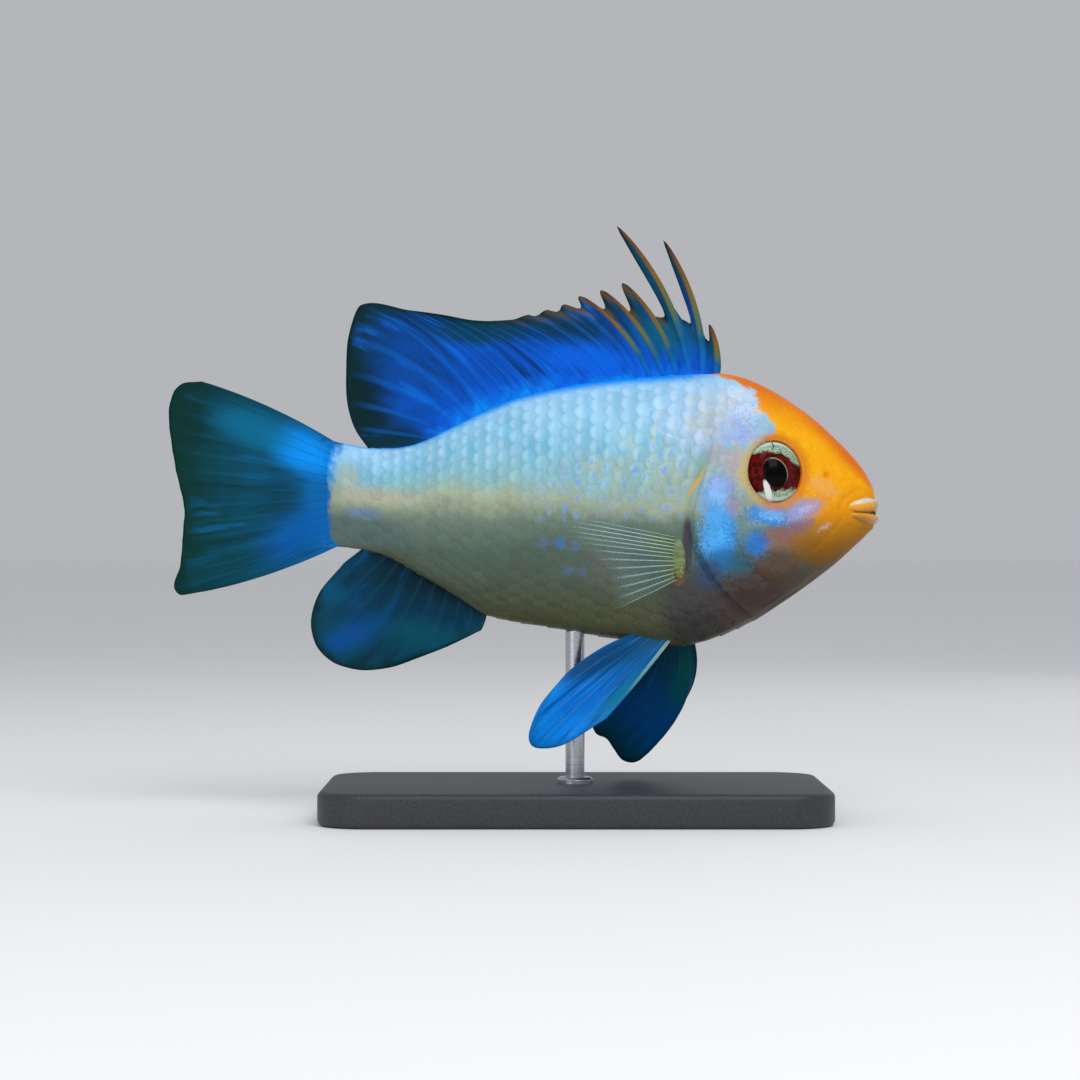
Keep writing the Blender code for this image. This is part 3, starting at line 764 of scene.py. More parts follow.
@dataclass(frozen=True)
class BodyPaint:
    """The fish's colours by their place on its body, alike on the skin and the scales.

    Patches ahead of scaled_to are left out on the scales, and those ahead of orange_from lie on the orange too.
    """

    # The flank darkens towards the belly partly as the fish's own colour and partly as painted shade.
    flank: Stops = stops(
        (-12.5, 74, 76, 54), (-9.5, 92, 94, 64), (-7.0, 78, 90, 68), (-4.0, 78, 98, 84), (-1.5, 106, 124, 108),
        (0.6, 162, 174, 144), (2.4, 130, 184, 190), (4.6, 116, 186, 216), (7.5, 142, 202, 236),
        (10.8, 158, 208, 246))
    border: Line = (
        (-12.0, 31.0), (-8.0, 29.0), (-6.4, 26.6), (-5.4, 24.8), (-4.4, 22.9), (-3.4, 22.3), (-2.4, 23.0),
        (-1.2, 23.5), (0.4, 23.0), (1.6, 22.2), (3.5, 20.6), (5.2, 20.2), (6.25, 21.0), (7.3, 20.3), (8.3, 19.7),
        (9.2, 19.6), (9.9, 18.6), (10.5, 17.0), (11.2, 15.6))
    tail_border: Line = (
        (-4.6, -16.0), (-3.2, -16.2), (-0.9, -16.3), (0.3, -16.1), (3.4, -16.0), (4.6, -15.3), (6.0, -14.4))
    # The head darkens from the orange down to the throat and jaw partly as its own colour and partly as painted
    # shade.
    forehead: Stops = stops(
        (-7.5, 70, 56, 38), (-6.0, 84, 64, 34), (-4.5, 122, 82, 16), (-3.0, 152, 100, 12), (-1.8, 186, 124, 12),
        (-0.6, 228, 146, 5), (1.0, 246, 164, 2), (4.0, 248, 172, 2), (7.5, 248, 174, 2), (11.0, 240, 142, 4))
    patches: tuple[Patch, ...] = (
        Patch(16.0, 7.8, 6.0, 3.2, rgb(166, 204, 240), 0.8, soft=0.5),
        Patch(18.4, 8.4, 2.4, 1.8, rgb(198, 218, 240), 0.8, turn=-30, ragged=0.7, soft=0.5),
        Fleck(15.4, 5.2, 2.8, 1.7, rgb(150, 184, 232), 0.6, soft=0.3),
        Fleck(18.2, 5.6, 2.2, 1.1, rgb(170, 178, 230), 0.6, ragged=1.1, soft=0.3),
        Fleck(16.8, 6.4, 3.2, 1.7, rgb(136, 162, 222), 0.65, ragged=1.5, soft=0.4),
        Fleck(15.4, 6.9, 3.0, 1.9, rgb(200, 194, 150), 0.5, turn=60, ragged=1.9, soft=0.4),
        Patch(18.0, 3.0, 1.5, 2.2, rgb(190, 178, 146), 0.85),
        Fleck(16.3, 3.9, 1.5, 1.3, rgb(176, 160, 140), 0.6, soft=0.3),
        Fleck(17.4, 3.7, 1.5, 1.3, rgb(166, 160, 186), 0.6, ragged=1.6, soft=0.4),
        Patch(12.6, 1.8, 2.6, 2.6, rgb(168, 178, 142), 0.5, soft=0.5),
        Blot(8.0, -4.6, 4.0, 3.2, rgb(106, 108, 104), 0.5, soft=0.5),
        Patch(19.4, -7.9, 8.2, 3.9, rgb(74, 60, 50), 0.95, turn=14, ragged=0.25, soft=0.45),
        Patch(19.4, -7.2, 3.6, 1.7, rgb(62, 46, 44), 0.7, turn=-12, ragged=0.3, soft=0.45),
        Blot(14.2, -8.6, 3.4, 4.4, rgb(60, 56, 58), 0.8, soft=0.5),
        Patch(21.7, -2.7, 3.0, 1.5, rgb(136, 100, 84), 0.9, turn=12, ragged=0.4, soft=0.4),
        Patch(20.9, -5.0, 3.2, 1.5, rgb(86, 66, 50), 0.9, turn=8, ragged=0.3, soft=0.45),
        Patch(19.2, -0.4, 1.7, 1.9, rgb(140, 152, 150), 0.7, ragged=0.6),
        Fleck(16.2, 0.4, 2.1, 2.6, rgb(104, 160, 226), 0.85),
        Fleck(16.3, -2.7, 1.9, 3.5, rgb(10, 138, 226), 0.95, turn=-6, ragged=0.9),
        Fleck(16.5, 1.4, 1.2, 1.5, rgb(152, 160, 224), 0.7, turn=15, ragged=1.4),
        Fleck(17.3, 0.0, 0.9, 1.3, rgb(164, 124, 120), 0.6, turn=10, ragged=1.8, soft=0.35),
        Fleck(16.2, 0.9, 1.0, 1.2, rgb(140, 194, 250), 0.7, ragged=1.4, soft=0.6),
        Fleck(16.0, -2.2, 1.5, 2.8, rgb(92, 182, 248), 0.7, turn=-6, ragged=1.6, soft=0.7),
        Fleck(16.6, -4.6, 1.6, 1.2, rgb(0, 104, 160), 0.75, ragged=1.1),
        Fleck(15.5, -5.7, 1.4, 1.7, rgb(44, 66, 104), 0.8, ragged=0.8, soft=0.5),
        Fleck(18.0, -5.0, 1.5, 1.2, rgb(14, 96, 124), 0.65, ragged=1.1, soft=0.5),
        Fleck(19.3, -3.2, 1.3, 1.5, rgb(14, 118, 204), 0.9, turn=20, ragged=1.2, soft=0.4),
        Fleck(18.5, -1.7, 0.9, 1.7, rgb(104, 136, 140), 0.6, turn=-8, ragged=1.3),
        Fleck(20.6, -1.0, 2.6, 1.0, rgb(16, 134, 226), 0.95, turn=-8, ragged=1.1, soft=0.4),
        Fleck(20.7, -0.9, 1.5, 0.6, rgb(124, 192, 248), 0.75, turn=-6, ragged=1.4, soft=0.5),
        Fleck(23.3, -0.6, 2.2, 1.1, rgb(164, 148, 178), 0.8, turn=26),
        Fleck(23.0, -0.6, 1.3, 0.7, rgb(156, 160, 220), 0.9, turn=26, ragged=1.2, soft=0.4),
        Fleck(23.6, -0.4, 0.9, 0.4, rgb(186, 182, 226), 0.75, turn=26, ragged=1.4, soft=0.5),
        Fleck(22.8, -1.9, 1.8, 0.6, rgb(120, 96, 130), 0.6, turn=20, ragged=1.3),
        Fleck(25.0, 1.5, 1.7, 0.8, rgb(234, 170, 84), 0.8, turn=-24, ragged=0.9),
        Fleck(25.1, -1.9, 0.7, 0.25, rgb(196, 166, 160), 0.7, turn=24, ragged=1.4, soft=0.4),
        Blot(24.9, -6.3, 3.0, 1.2, rgb(88, 74, 52), 0.9, turn=36, soft=0.5),
        Patch(14.5, 1.8, 1.75, 0.24, rgb(222, 174, 26), 0.95, turn=58, ragged=0.25),
        # Painted shade: a dark narrow band in the gap between the gill cover's edge and the pectoral fin's root.
        Patch(13.7, -3.4, 0.55, 2.9, rgb(66, 54, 70), 0.85, ragged=0.3),
        Patch(13.0, -5.9, 0.7, 1.0, rgb(150, 92, 44), 0.7),
        Patch(12.6, 5.5, 1.8, 0.13, rgb(196, 220, 240), 0.5, turn=-26, ragged=1.2),
        Blot(-13.6, -2.3, 5.4, 2.0, rgb(78, 100, 98), 0.85, turn=-6),
        Blot(-11.6, -4.2, 3.8, 0.7, rgb(86, 92, 62), 0.7, turn=-14),
        Patch(-12.4, 0.7, 4.6, 0.8, rgb(178, 172, 152), 0.75, turn=-8, ragged=0.3, soft=0.7),
        Blot(-14.6, 2.4, 1.3, 1.3, rgb(176, 186, 164), 0.7, ragged=0.3),
        Fleck(-13.2, -0.7, 1.9, 0.6, rgb(96, 128, 178), 0.6, turn=-6, soft=0.6),
        Patch(-7.5, -7.2, 3.0, 0.9, rgb(96, 86, 46), 0.8, turn=-32, ragged=0.3, soft=0.45),
        Blot(1.8, -3.3, 0.5, 0.6, rgb(84, 116, 172), 0.5, ragged=1.0),
        Blot(3.15, -3.2, 0.55, 0.65, rgb(52, 118, 196), 0.7, ragged=1.0),
        Blot(4.45, -3.4, 0.5, 0.6, rgb(84, 116, 172), 0.5, ragged=1.0),
        Blot(3.8, -5.5, 0.5, 0.6, rgb(80, 108, 160), 0.55, ragged=1.0),
        Blot(5.1, -5.6, 0.5, 0.5, rgb(84, 106, 152), 0.45, ragged=1.0))
    azure: Colour = rgb(0, 150, 250)
    crest_orange: Colour = rgb(224, 110, 0)
    # Painted shade of the mouth's slit, where the lips meet.
    mouth: Colour = rgb(30, 26, 14)
    scaled_to: float = 24.0
    orange_from: float = 22.0
    eye: tuple[float, float] = Body.eye
    eye_narrowing: float = Body.eye_narrowing

    def colour(self, graph: Graph, crest: Value, face: bool) -> Value:
        """Builds the body's colour.

        Args:
            graph: The material's graph.
            crest: 1 along the line of the back, falling to -1 along the belly.
            face: Whether to paint the snout, the mouth and round the eye, where no scale grows.

        Returns:
            The colour.
        """
        x, z = graph.x, graph.z
        drift, grain, fine = graph.noise(0.22, 2.0), graph.noise(1.5, 6.0), graph.noise(5.0, 2.0)
        colour = self.flank_colour(graph, crest, drift, grain)
        speckle = graph.noise(4.2, 2.5)
        for patch in (p for p in self.patches if face or p.x < self.scaled_to):
            colour = graph.patch(colour, patch, speckle if patch.fine else grain)
        colour = self.nape_colour(graph, colour)
        edge = x - graph.curve(z, self.border) + grain.swing(2.2) + fine.swing(0.4)
        edge = edge / (z.fall(-2.5, 0.5) * 2.8 + 0.5)
        orange = self.forehead_colour(graph, crest, drift, grain)
        for patch in (p for p in self.patches if face and p.x > self.orange_from):
            orange = graph.patch(orange, patch, speckle if patch.fine else grain)
        colour = graph.mix(edge.rise(-0.6, 0.6), colour, orange)
        if face:
            colour = self.face_colour(graph, colour, fine)
        return graph.dim(self.tail_colour(graph, colour, grain), fine.swing(0.25) + 1.0)

    def flank_colour(self, graph: Graph, crest: Value, drift: Value, grain: Value) -> Value:
        """Bands from belly to back, darker towards the belly partly as the fish's own colour and partly as painted
        shade, with cream streaks behind the gill cover and azure along the back.
        """
        x, z = graph.x, graph.z
        level = z + drift.swing(2.4) + grain.swing(1.2) + x.fall(-13.0, -5.0) * z.rise(1.0, 4.5) * 4.5
        level = level - x.rise(1.0, 9.0) * z.rise(0.4, 3.4) * 1.7 + x.rise(1.0, 9.0) * z.rise(-2.4, -0.4) * 0.7
        colour = graph.ramp(level, self.flank)
        streaks = graph.drawn(2.0, 1.6, 0.5).rise(0.45, 0.7)
        front = x.rise(0.0, 7.0) * z.rise(-0.5, 1.5) * (z - x * 0.33).fall(1.8, 4.4)
        colour = graph.mix(front * streaks * 0.75, colour, rgb(172, 184, 140))
        return graph.mix(crest.rise(0.91, 0.985) * x.fall(13.5, 16.5), colour, self.azure)

    @staticmethod
    def nape_colour(graph: Graph, colour: Value) -> Value:
        """Tan and lilac streaks over the nape."""
        x, z = graph.x, graph.z
        nape = x.rise(10.0, 13.0) * z.rise(3.6, 5.4) * z.fall(8.4, 10.2)
        tan = graph.noise(1.0, 3.0, graph.join(x * 3.0 + z * 0.8, z * 1.1))
        colour = graph.mix(nape * tan.rise(0.54, 0.7) * 0.6, colour, rgb(208, 198, 150))
        lilac = graph.drawn(4.0, 2.2, 1.5, 7.0)
        return graph.mix(nape * lilac.rise(0.48, 0.66) * 0.5, colour, rgb(144, 180, 236))

    def forehead_colour(self, graph: Graph, crest: Value, drift: Value, grain: Value) -> Value:
        """Brown to orange from the throat upwards, darker towards the throat and jaw partly as the fish's own colour
        and partly as painted shade, with light grains and a deeper orange along the crest.
        """
        x, z = graph.x, graph.z
        orange = graph.ramp(z + drift.swing(2.5) - x.rise(24.0, 29.0) * 0.8, self.forehead)
        orange = graph.mix(grain.rise(0.48, 0.7) * z.rise(-1.5, 1.5) * 0.4, orange, rgb(252, 202, 10))
        near_crest = (crest + x.rise(22.0, 29.0) * 0.16 + drift.swing(0.2)).rise(0.68, 1.06)
        return graph.mix(near_crest * x.rise(15.5, 18.5) * z.rise(0.6, 2.0), orange, self.crest_orange)

    def face_colour(self, graph: Graph, colour: Value, fine: Value) -> Value:
        """Painted shade in a ring round the eye, dots above the lips, and painted shade along the slit of the mouth.
        """
        x, z = graph.x, graph.z
        # Painted shade round the eye's socket: a darker orange ring ahead of the eye, tan behind it.
        ring = ((x - self.eye[0]) / self.eye_narrowing).length(z - self.eye[1])
        shaded = graph.mix(x.fall(19.2, 20.6), rgb(214, 116, 12), rgb(200, 172, 96))
        colour = graph.mix(ring.fall(2.75, 3.65) * 0.75, colour, shaded)
        dots = graph.cells(3.6).fall(0.15, 0.4) * x.rise(27.0, 28.4) * z.rise(0.9, 1.6) * fine.rise(0.4, 0.6)
        colour = graph.mix(dots * 0.7, colour, rgb(222, 110, 24))
        # Painted shade: a dark line along the mouth's slit, where the lips meet.
        slit = (z + 0.78).size().fall(0.1, 0.3) * x.rise(28.0, 28.6)
        return graph.mix(slit, colour, self.mouth)

    def tail_colour(self, graph: Graph, colour: Value, grain: Value) -> Value:
        """The tail fin's blues, which reach onto the end of the tail stem."""
        x, z = graph.x, graph.z
        tail = graph.curve(z, self.tail_border) - x + grain.swing(2.2)
        fin = graph.ramp(z + (grain - 0.5), stops((-4.0, 0, 100, 172), (-2.4, 0, 94, 182), (-0.6, 0, 98, 168),
                                                  (1.8, 0, 104, 180), (3.4, 0, 146, 246), (4.6, 0, 138, 232),
                                                  (5.5, 0, 92, 146)))
        return graph.mix(tail.rise(-0.7, 0.6).most(x.fall(-16.5, -16.0)), colour, fin)


@dataclass(frozen=True)
class Skin:
    """The one skin over head, trunk and tail stem."""

    body: Body
    paint: BodyPaint
    around: int = 176
    along: int = 236
    shares: tuple[float, ...] = (0.0, 0.03, 0.5, 0.545, 0.98, 1.0)
    stations: tuple[float, ...] = (29.74, 29.4, 15.35, 14.75, -16.7, -17.0)

    def form(self, share: Array, angle: Array) -> Array:
        """Points of the skin for shares from snout to tail and angles round the body."""
        station = np.interp(share, self.shares, self.stations)
        point = self.body.skin(station, angle)
        front = np.clip(share / self.shares[1], 0, 1)
        rear = np.clip((1 - share) / (1 - self.shares[-2]), 0, 1)
        width = np.sin(np.minimum(front, rear) * math.pi / 2)[:, None]
        middle = np.stack([point[:, 0], self.body.swing(point[:, 0]), self.body.widest(point[:, 0])], -1)
        return middle + (point - middle) * width

    def build(self) -> Piece:
        """The skin as one closed piece, in the place of head, torso and tail stem."""
        skin = Modeller.ball("skin", self.around, self.along, self.form)
        at = Modeller.on_fish(skin)
        Modeller.store(skin, "crest", self.body.level(at[:, 0], at[:, 2]))
        self.dress(skin)
        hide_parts("head", "torso", "tail_stem")
        return skin

    def dress(self, skin: Piece) -> None:
        """Paints the skin and gives it fine pores and a wet sheen."""
        graph = Graph("fish skin", Coat_Weight=0.06, Coat_Roughness=0.2, Specular_IOR_Level=0.12)
        colour = self.paint.colour(graph, graph.attribute("crest"), face=True)
        pores = graph.noise(9.0, 4.0)
        coarse = graph.bump(graph.noise(1.6, 3.0), 0.05)
        graph.bump(pores, 0.03, coarse)
        graph.dress(skin, Base_Color=colour, Roughness=pores * 0.25 + 0.3)


@dataclass(frozen=True)
class ScaleField:
    """A stretch of the coat with scales of one kind."""

    first: float
    last: float
    spacing: tuple[float, float]
    pitch: tuple[float, float]
    lowest: float = -20.0
    highest: float = 20.0
    lift: float = 0.1


@dataclass(frozen=True)
class ScaleCoat:
    """The scales as thin plates that overlap towards the tail, in columns along the body."""

    body: Body
    skin: Skin
    paint: BodyPaint
    fields: tuple[ScaleField, ...] = (
        ScaleField(14.7, -15.7, (1.22, 0.85), (1.42, 1.0), lift=0.065),
        ScaleField(19.4, 15.6, (0.85, 0.95), (1.1, 1.2), lowest=5.2, highest=10.6, lift=0.05),
        ScaleField(18.2, 15.5, (0.75, 0.8), (0.95, 1.0), lowest=-7.0, highest=3.6, lift=0.035),
        ScaleField(22.4, 19.0, (0.66, 0.7), (0.8, 0.85), lowest=-5.2, highest=-1.6, lift=0.03))
    length: float = 1.55
    width: float = 1.16
    plate: float = 0.04
    across: int = 6
    rows: tuple[float, ...] = (0.0, 0.35, 0.65, 0.87, 1.0)
    widths: tuple[float, ...] = (0.9, 1.0, 0.93, 0.7, 0.3)
    patch: float = 0.003
    seed: int = 7
    eye_clearance: float = 3.9
    border_clearance: float = 0.5
    overhang: float = 0.25
    pivot: float = 0.35
    skew: float = 0.12
    sink: float = 0.03
    curl: float = 0.03

    def roots(self) -> Array:
        """Places of all scales: station, angle, spacing, pitch and lift, one row each."""
        angles = np.linspace(0, math.pi, 241)
        found = []
        for part in self.fields:
            station, column = part.first, 0
            while station > part.last:
                share = (part.first - station) / (part.first - part.last)
                spacing = part.spacing[0] + (part.spacing[1] - part.spacing[0]) * share
                pitch = part.pitch[0] + (part.pitch[1] - part.pitch[0]) * share
                ring = self.body.base(np.full_like(angles, station), angles)
                way = np.append(0, np.cumsum(np.linalg.norm(np.diff(ring, axis=0), axis=1)))
                middle = np.interp(math.pi / 2, angles, way)
                first = -int(middle / pitch) - 1
                last = int((way[-1] - middle) / pitch) + 1
                for row in range(first, last + 1):
                    place = middle + (row + 0.5 * (column % 2)) * pitch
                    if -self.overhang * pitch < place < way[-1] + self.overhang * pitch:
                        angle = float(np.interp(place, way, angles))
                        found.append((station, angle, spacing, pitch, part.lift, part.lowest, part.highest))
                station -= spacing
                column += 1
        both = np.array([(row[0], row[1] * side.value, *row[2:]) for row in found for side in Side])
        return both[self.kept(both)]

    def kept(self, roots: Array) -> Array:
        """Which scales lie within their field and clear of the eye."""
        x, _, z = self.body.base(roots[:, 0], roots[:, 1]).T
        clear = np.hypot(x - self.body.eye[0], z - self.body.eye[1]) > self.eye_clearance
        border = np.interp(z, *np.array(self.paint.border).T)
        return clear & (x < border - self.border_clearance) & (z > roots[:, 5]) & (z < roots[:, 6])

    def build(self) -> Piece:
        """All scales as one piece, each a closed plate."""
        roots = self.roots()
        rows = len(self.rows) - 1
        coat = Modeller.add("scales", bpy.ops.mesh.primitive_grid_add, x_subdivisions=rows,
                            y_subdivisions=self.across, size=2.0)
        local = Modeller.corners(coat)
        copies = coat.modifiers.new("copies", "ARRAY")
        copies.count = len(roots)
        Modeller.apply(coat, copies)
        size = len(local)
        owner = np.repeat(np.arange(len(roots)), size)
        along = np.tile(np.interp((local[:, 0] + 1) / 2, np.linspace(0, 1, rows + 1), self.rows), len(roots))
        side = np.tile(local[:, 1], len(roots))
        chance = np.random.default_rng(self.seed).random((len(roots), 3))
        points = self.form(roots[owner], chance[owner], along, side)
        Modeller.place(coat, points)
        station, angle = roots[owner, 0], roots[owner, 1]
        Modeller.store(coat, "crest", self.body.level(points[:, 0], points[:, 2]))
        Modeller.store(coat, "along", along)
        Modeller.store(coat, "across", side)
        Modeller.store(coat, "pick", chance[owner, 0])
        self.unwrap(coat, station, angle, along, side)
        solid = coat.modifiers.new("solid", "SOLIDIFY")
        solid.thickness = self.plate * MM
        solid.offset = -1.0
        Modeller.apply(coat, solid)
        Modeller.face_outward(coat)
        bpy.ops.object.shade_smooth_by_angle(angle=math.radians(50))
        self.dress(coat)
        LOG.info("scales: %d plates", len(roots))
        return coat

    def form(self, roots: Array, chance: Array, along: Array, side: Array) -> Array:
        """Points of the plates.

        Args:
            roots: The root of each corner's scale.
            chance: Three random shares for each corner's scale.
            along: Share of the scale's length, 0 at its root.
            side: Share of the scale's half width, from -1 to 1.

        Returns:
            The corners' points.
        """
        station, angle, spacing, pitch, lift = roots[:, :5].T
        for_mm, turn_mm = (1 / np.linalg.norm(slope, axis=1) for slope in self.body.slopes(station, angle))
        half = np.interp(along, self.rows, self.widths) * pitch * self.width / 2
        lean = (chance[:, 1] - 0.5) * self.skew
        back = (along - self.pivot) * self.length * spacing
        over = side * half + back * lean
        place = station - back * for_mm
        lift = lift * (0.3 + 0.7 * ease(-15.5, -10.0, station))
        rise = lift * along ** 1.3 * (1 + 0.25 * (chance[:, 2] - 0.5))
        height = rise - self.sink - self.curl * side ** 2
        return self.body.skin(place, angle + over * turn_mm, height)

    def unwrap(self, coat: Piece, station: Array, angle: Array, along: Array, side: Array) -> None:
        """Lays each scale as a small patch at its root's place on the skin's own unwrap."""
        root_u = (angle / (2 * math.pi)) % 1.0
        root_v = 1.0 - np.interp(-station, [-s for s in self.skin.stations], self.skin.shares)
        spots = np.stack([root_u + side * self.patch / 2, root_v - (along - 0.5) * self.patch], -1)
        layer = coat.data.uv_layers.new(name="OFBake")
        corner = np.empty(len(coat.data.loops), int)
        coat.data.loops.foreach_get("vertex_index", corner)
        layer.data.foreach_set("uv", spots[corner].astype(np.float32).ravel())

    def dress(self, coat: Piece) -> None:
        """Paints the scales with the body's colours, painted shade at their rims and roots and a painted sheen over
        their middles, strongest on the upper flank, and blue spots.
        """
        graph = Graph("fish scales", Coat_Weight=0.12, Coat_Roughness=0.2, Specular_IOR_Level=0.22)
        colour = self.paint.colour(graph, graph.attribute("crest"), face=False)
        along, across = graph.attribute("along"), graph.attribute("across")
        pick = graph.attribute("pick")
        # The painted light and shade below is strongest on the upper flank, where the light falls from above.
        upper = (graph.z.rise(-1.0, 5.0) * graph.attribute("crest").fall(0.86, 0.98)
                 * graph.x.rise(-16.5, -11.0) * graph.x.fall(14.0, 18.0))
        # Painted shade at the rim and the root of each scale, where the next scales overlap.
        rim = (along + across.size() ** 2.0 * 0.12).rise(0.78, 1.0)
        root = along.fall(0.4, 0.66)
        colour = graph.mix((rim * 0.22 + root * 0.26) * (upper * 0.85 + 0.1), colour, rgb(88, 156, 190))
        # Painted sheen: a pale blue highlight over each scale's middle, broken into uneven bands.
        middle = ((along - 0.76) * (along - 0.76) * 26.0 + across * across * 0.8).fall(0.0, 1.0)
        wavy_sheen = graph.drawn(2.0, 1.2, 0.35, 3.0).rise(0.3, 0.7)
        colour = graph.mix((middle * 0.2 + wavy_sheen * 0.2) * upper, colour, rgb(206, 232, 250))
        row = (graph.x.rise(-1.0, 3.0) * graph.x.fall(12.8, 14.2)
               * graph.z.rise(-2.0, -0.4) * (graph.z - graph.x * 0.2).fall(1.8, 3.4))
        spot = ((along - 0.74) * (along - 0.74) * 16.0 + across * across * 1.5).fall(0.0, 1.2)
        fleck = graph.drawn(3.0, 2.4, 1.3, 5.0).rise(0.46, 0.64)
        colour = graph.mix(spot * fleck * row * pick.rise(0.1, 0.5) * 0.85, colour, rgb(112, 156, 226))
        colour = graph.mix(fleck * row * 0.22, colour, rgb(124, 160, 220))
        colour = graph.dim(colour, pick * 0.14 + 0.93)
        graph.bump(graph.noise(8.0, 3.0), 0.02)
        graph.dress(coat, Base_Color=colour, Roughness=graph.noise(6.0) * 0.2 + 0.27)


@dataclass(frozen=True)
class Lip:
    """One lip, a soft bow from one mouth corner round the snout to the other."""

    name: str
    front: tuple[float, float]
    corner: tuple[float, float, float]
    radius: float
    flat: float
    paint: Stops
    around: int = 28
    along: int = 96

    def form(self, share: Array, angle: Array) -> Array:
        """Points of the lip for shares along it and angles round it."""
        path = self.path(share)
        ahead = unit(self.path(share + 0.001) - self.path(share - 0.001))
        out = unit(np.cross(ahead, np.array([0.0, 0.0, 1.0])))
        up = np.cross(out, ahead)
        bow = np.cos(math.pi * (share - 0.5))
        close = np.sqrt(np.clip(1 - np.abs(2 * share - 1) ** 5, 0, 1))
        wrinkle = 1 + 0.025 * np.sin(150 * share) * np.cos(angle)
        radius = self.radius * (0.55 + 0.45 * bow) * close * wrinkle
        return path + (out * np.cos(angle)[:, None] * self.flat + up * np.sin(angle)[:, None]) * radius[:, None]

    def path(self, share: Array) -> Array:
        """Points of the lip's middle line."""
        turn = math.pi * (share - 0.5)
        bow = np.cos(turn)
        x = self.corner[0] + (self.front[0] - self.corner[0]) * bow
        z = self.corner[2] + (self.front[1] - self.corner[2]) * bow
        return np.stack([x, self.corner[1] * np.sin(turn), z], -1)

    def build(self) -> Piece:
        """The lip, painted by the height on its own section."""
        lip = Modeller.ball(self.name, self.around, self.along, self.form)
        at = Modeller.on_fish(lip)
        share = 0.5 + np.arcsin(np.clip(at[:, 1] / self.corner[1], -1, 1)) / math.pi
        Modeller.store(lip, "rise", (at[:, 2] - self.path(share)[:, 2]) / self.radius)
        self.dress(lip)
        return lip

    def dress(self, lip: Piece) -> None:
        """Paints the lip from its underside to its top edge; its dark parts beside the mouth's slit are painted
        shade.
        """
        graph = Graph(f"{self.name} skin", Coat_Weight=0.3, Coat_Roughness=0.15)
        grain = graph.noise(3.0, 3.0)
        colour = graph.ramp(graph.attribute("rise") + grain.swing(0.35), self.paint)
        front = graph.x.rise(29.1, 29.75) * graph.noise(7.0, 3.0).rise(0.3, 0.6)
        colour = graph.mix(front * 0.75, colour, rgb(176, 154, 134))
        graph.bump(graph.noise(9.0, 3.0), 0.03)
        graph.dress(lip, Base_Color=colour, Roughness=grain * 0.2 + 0.25)


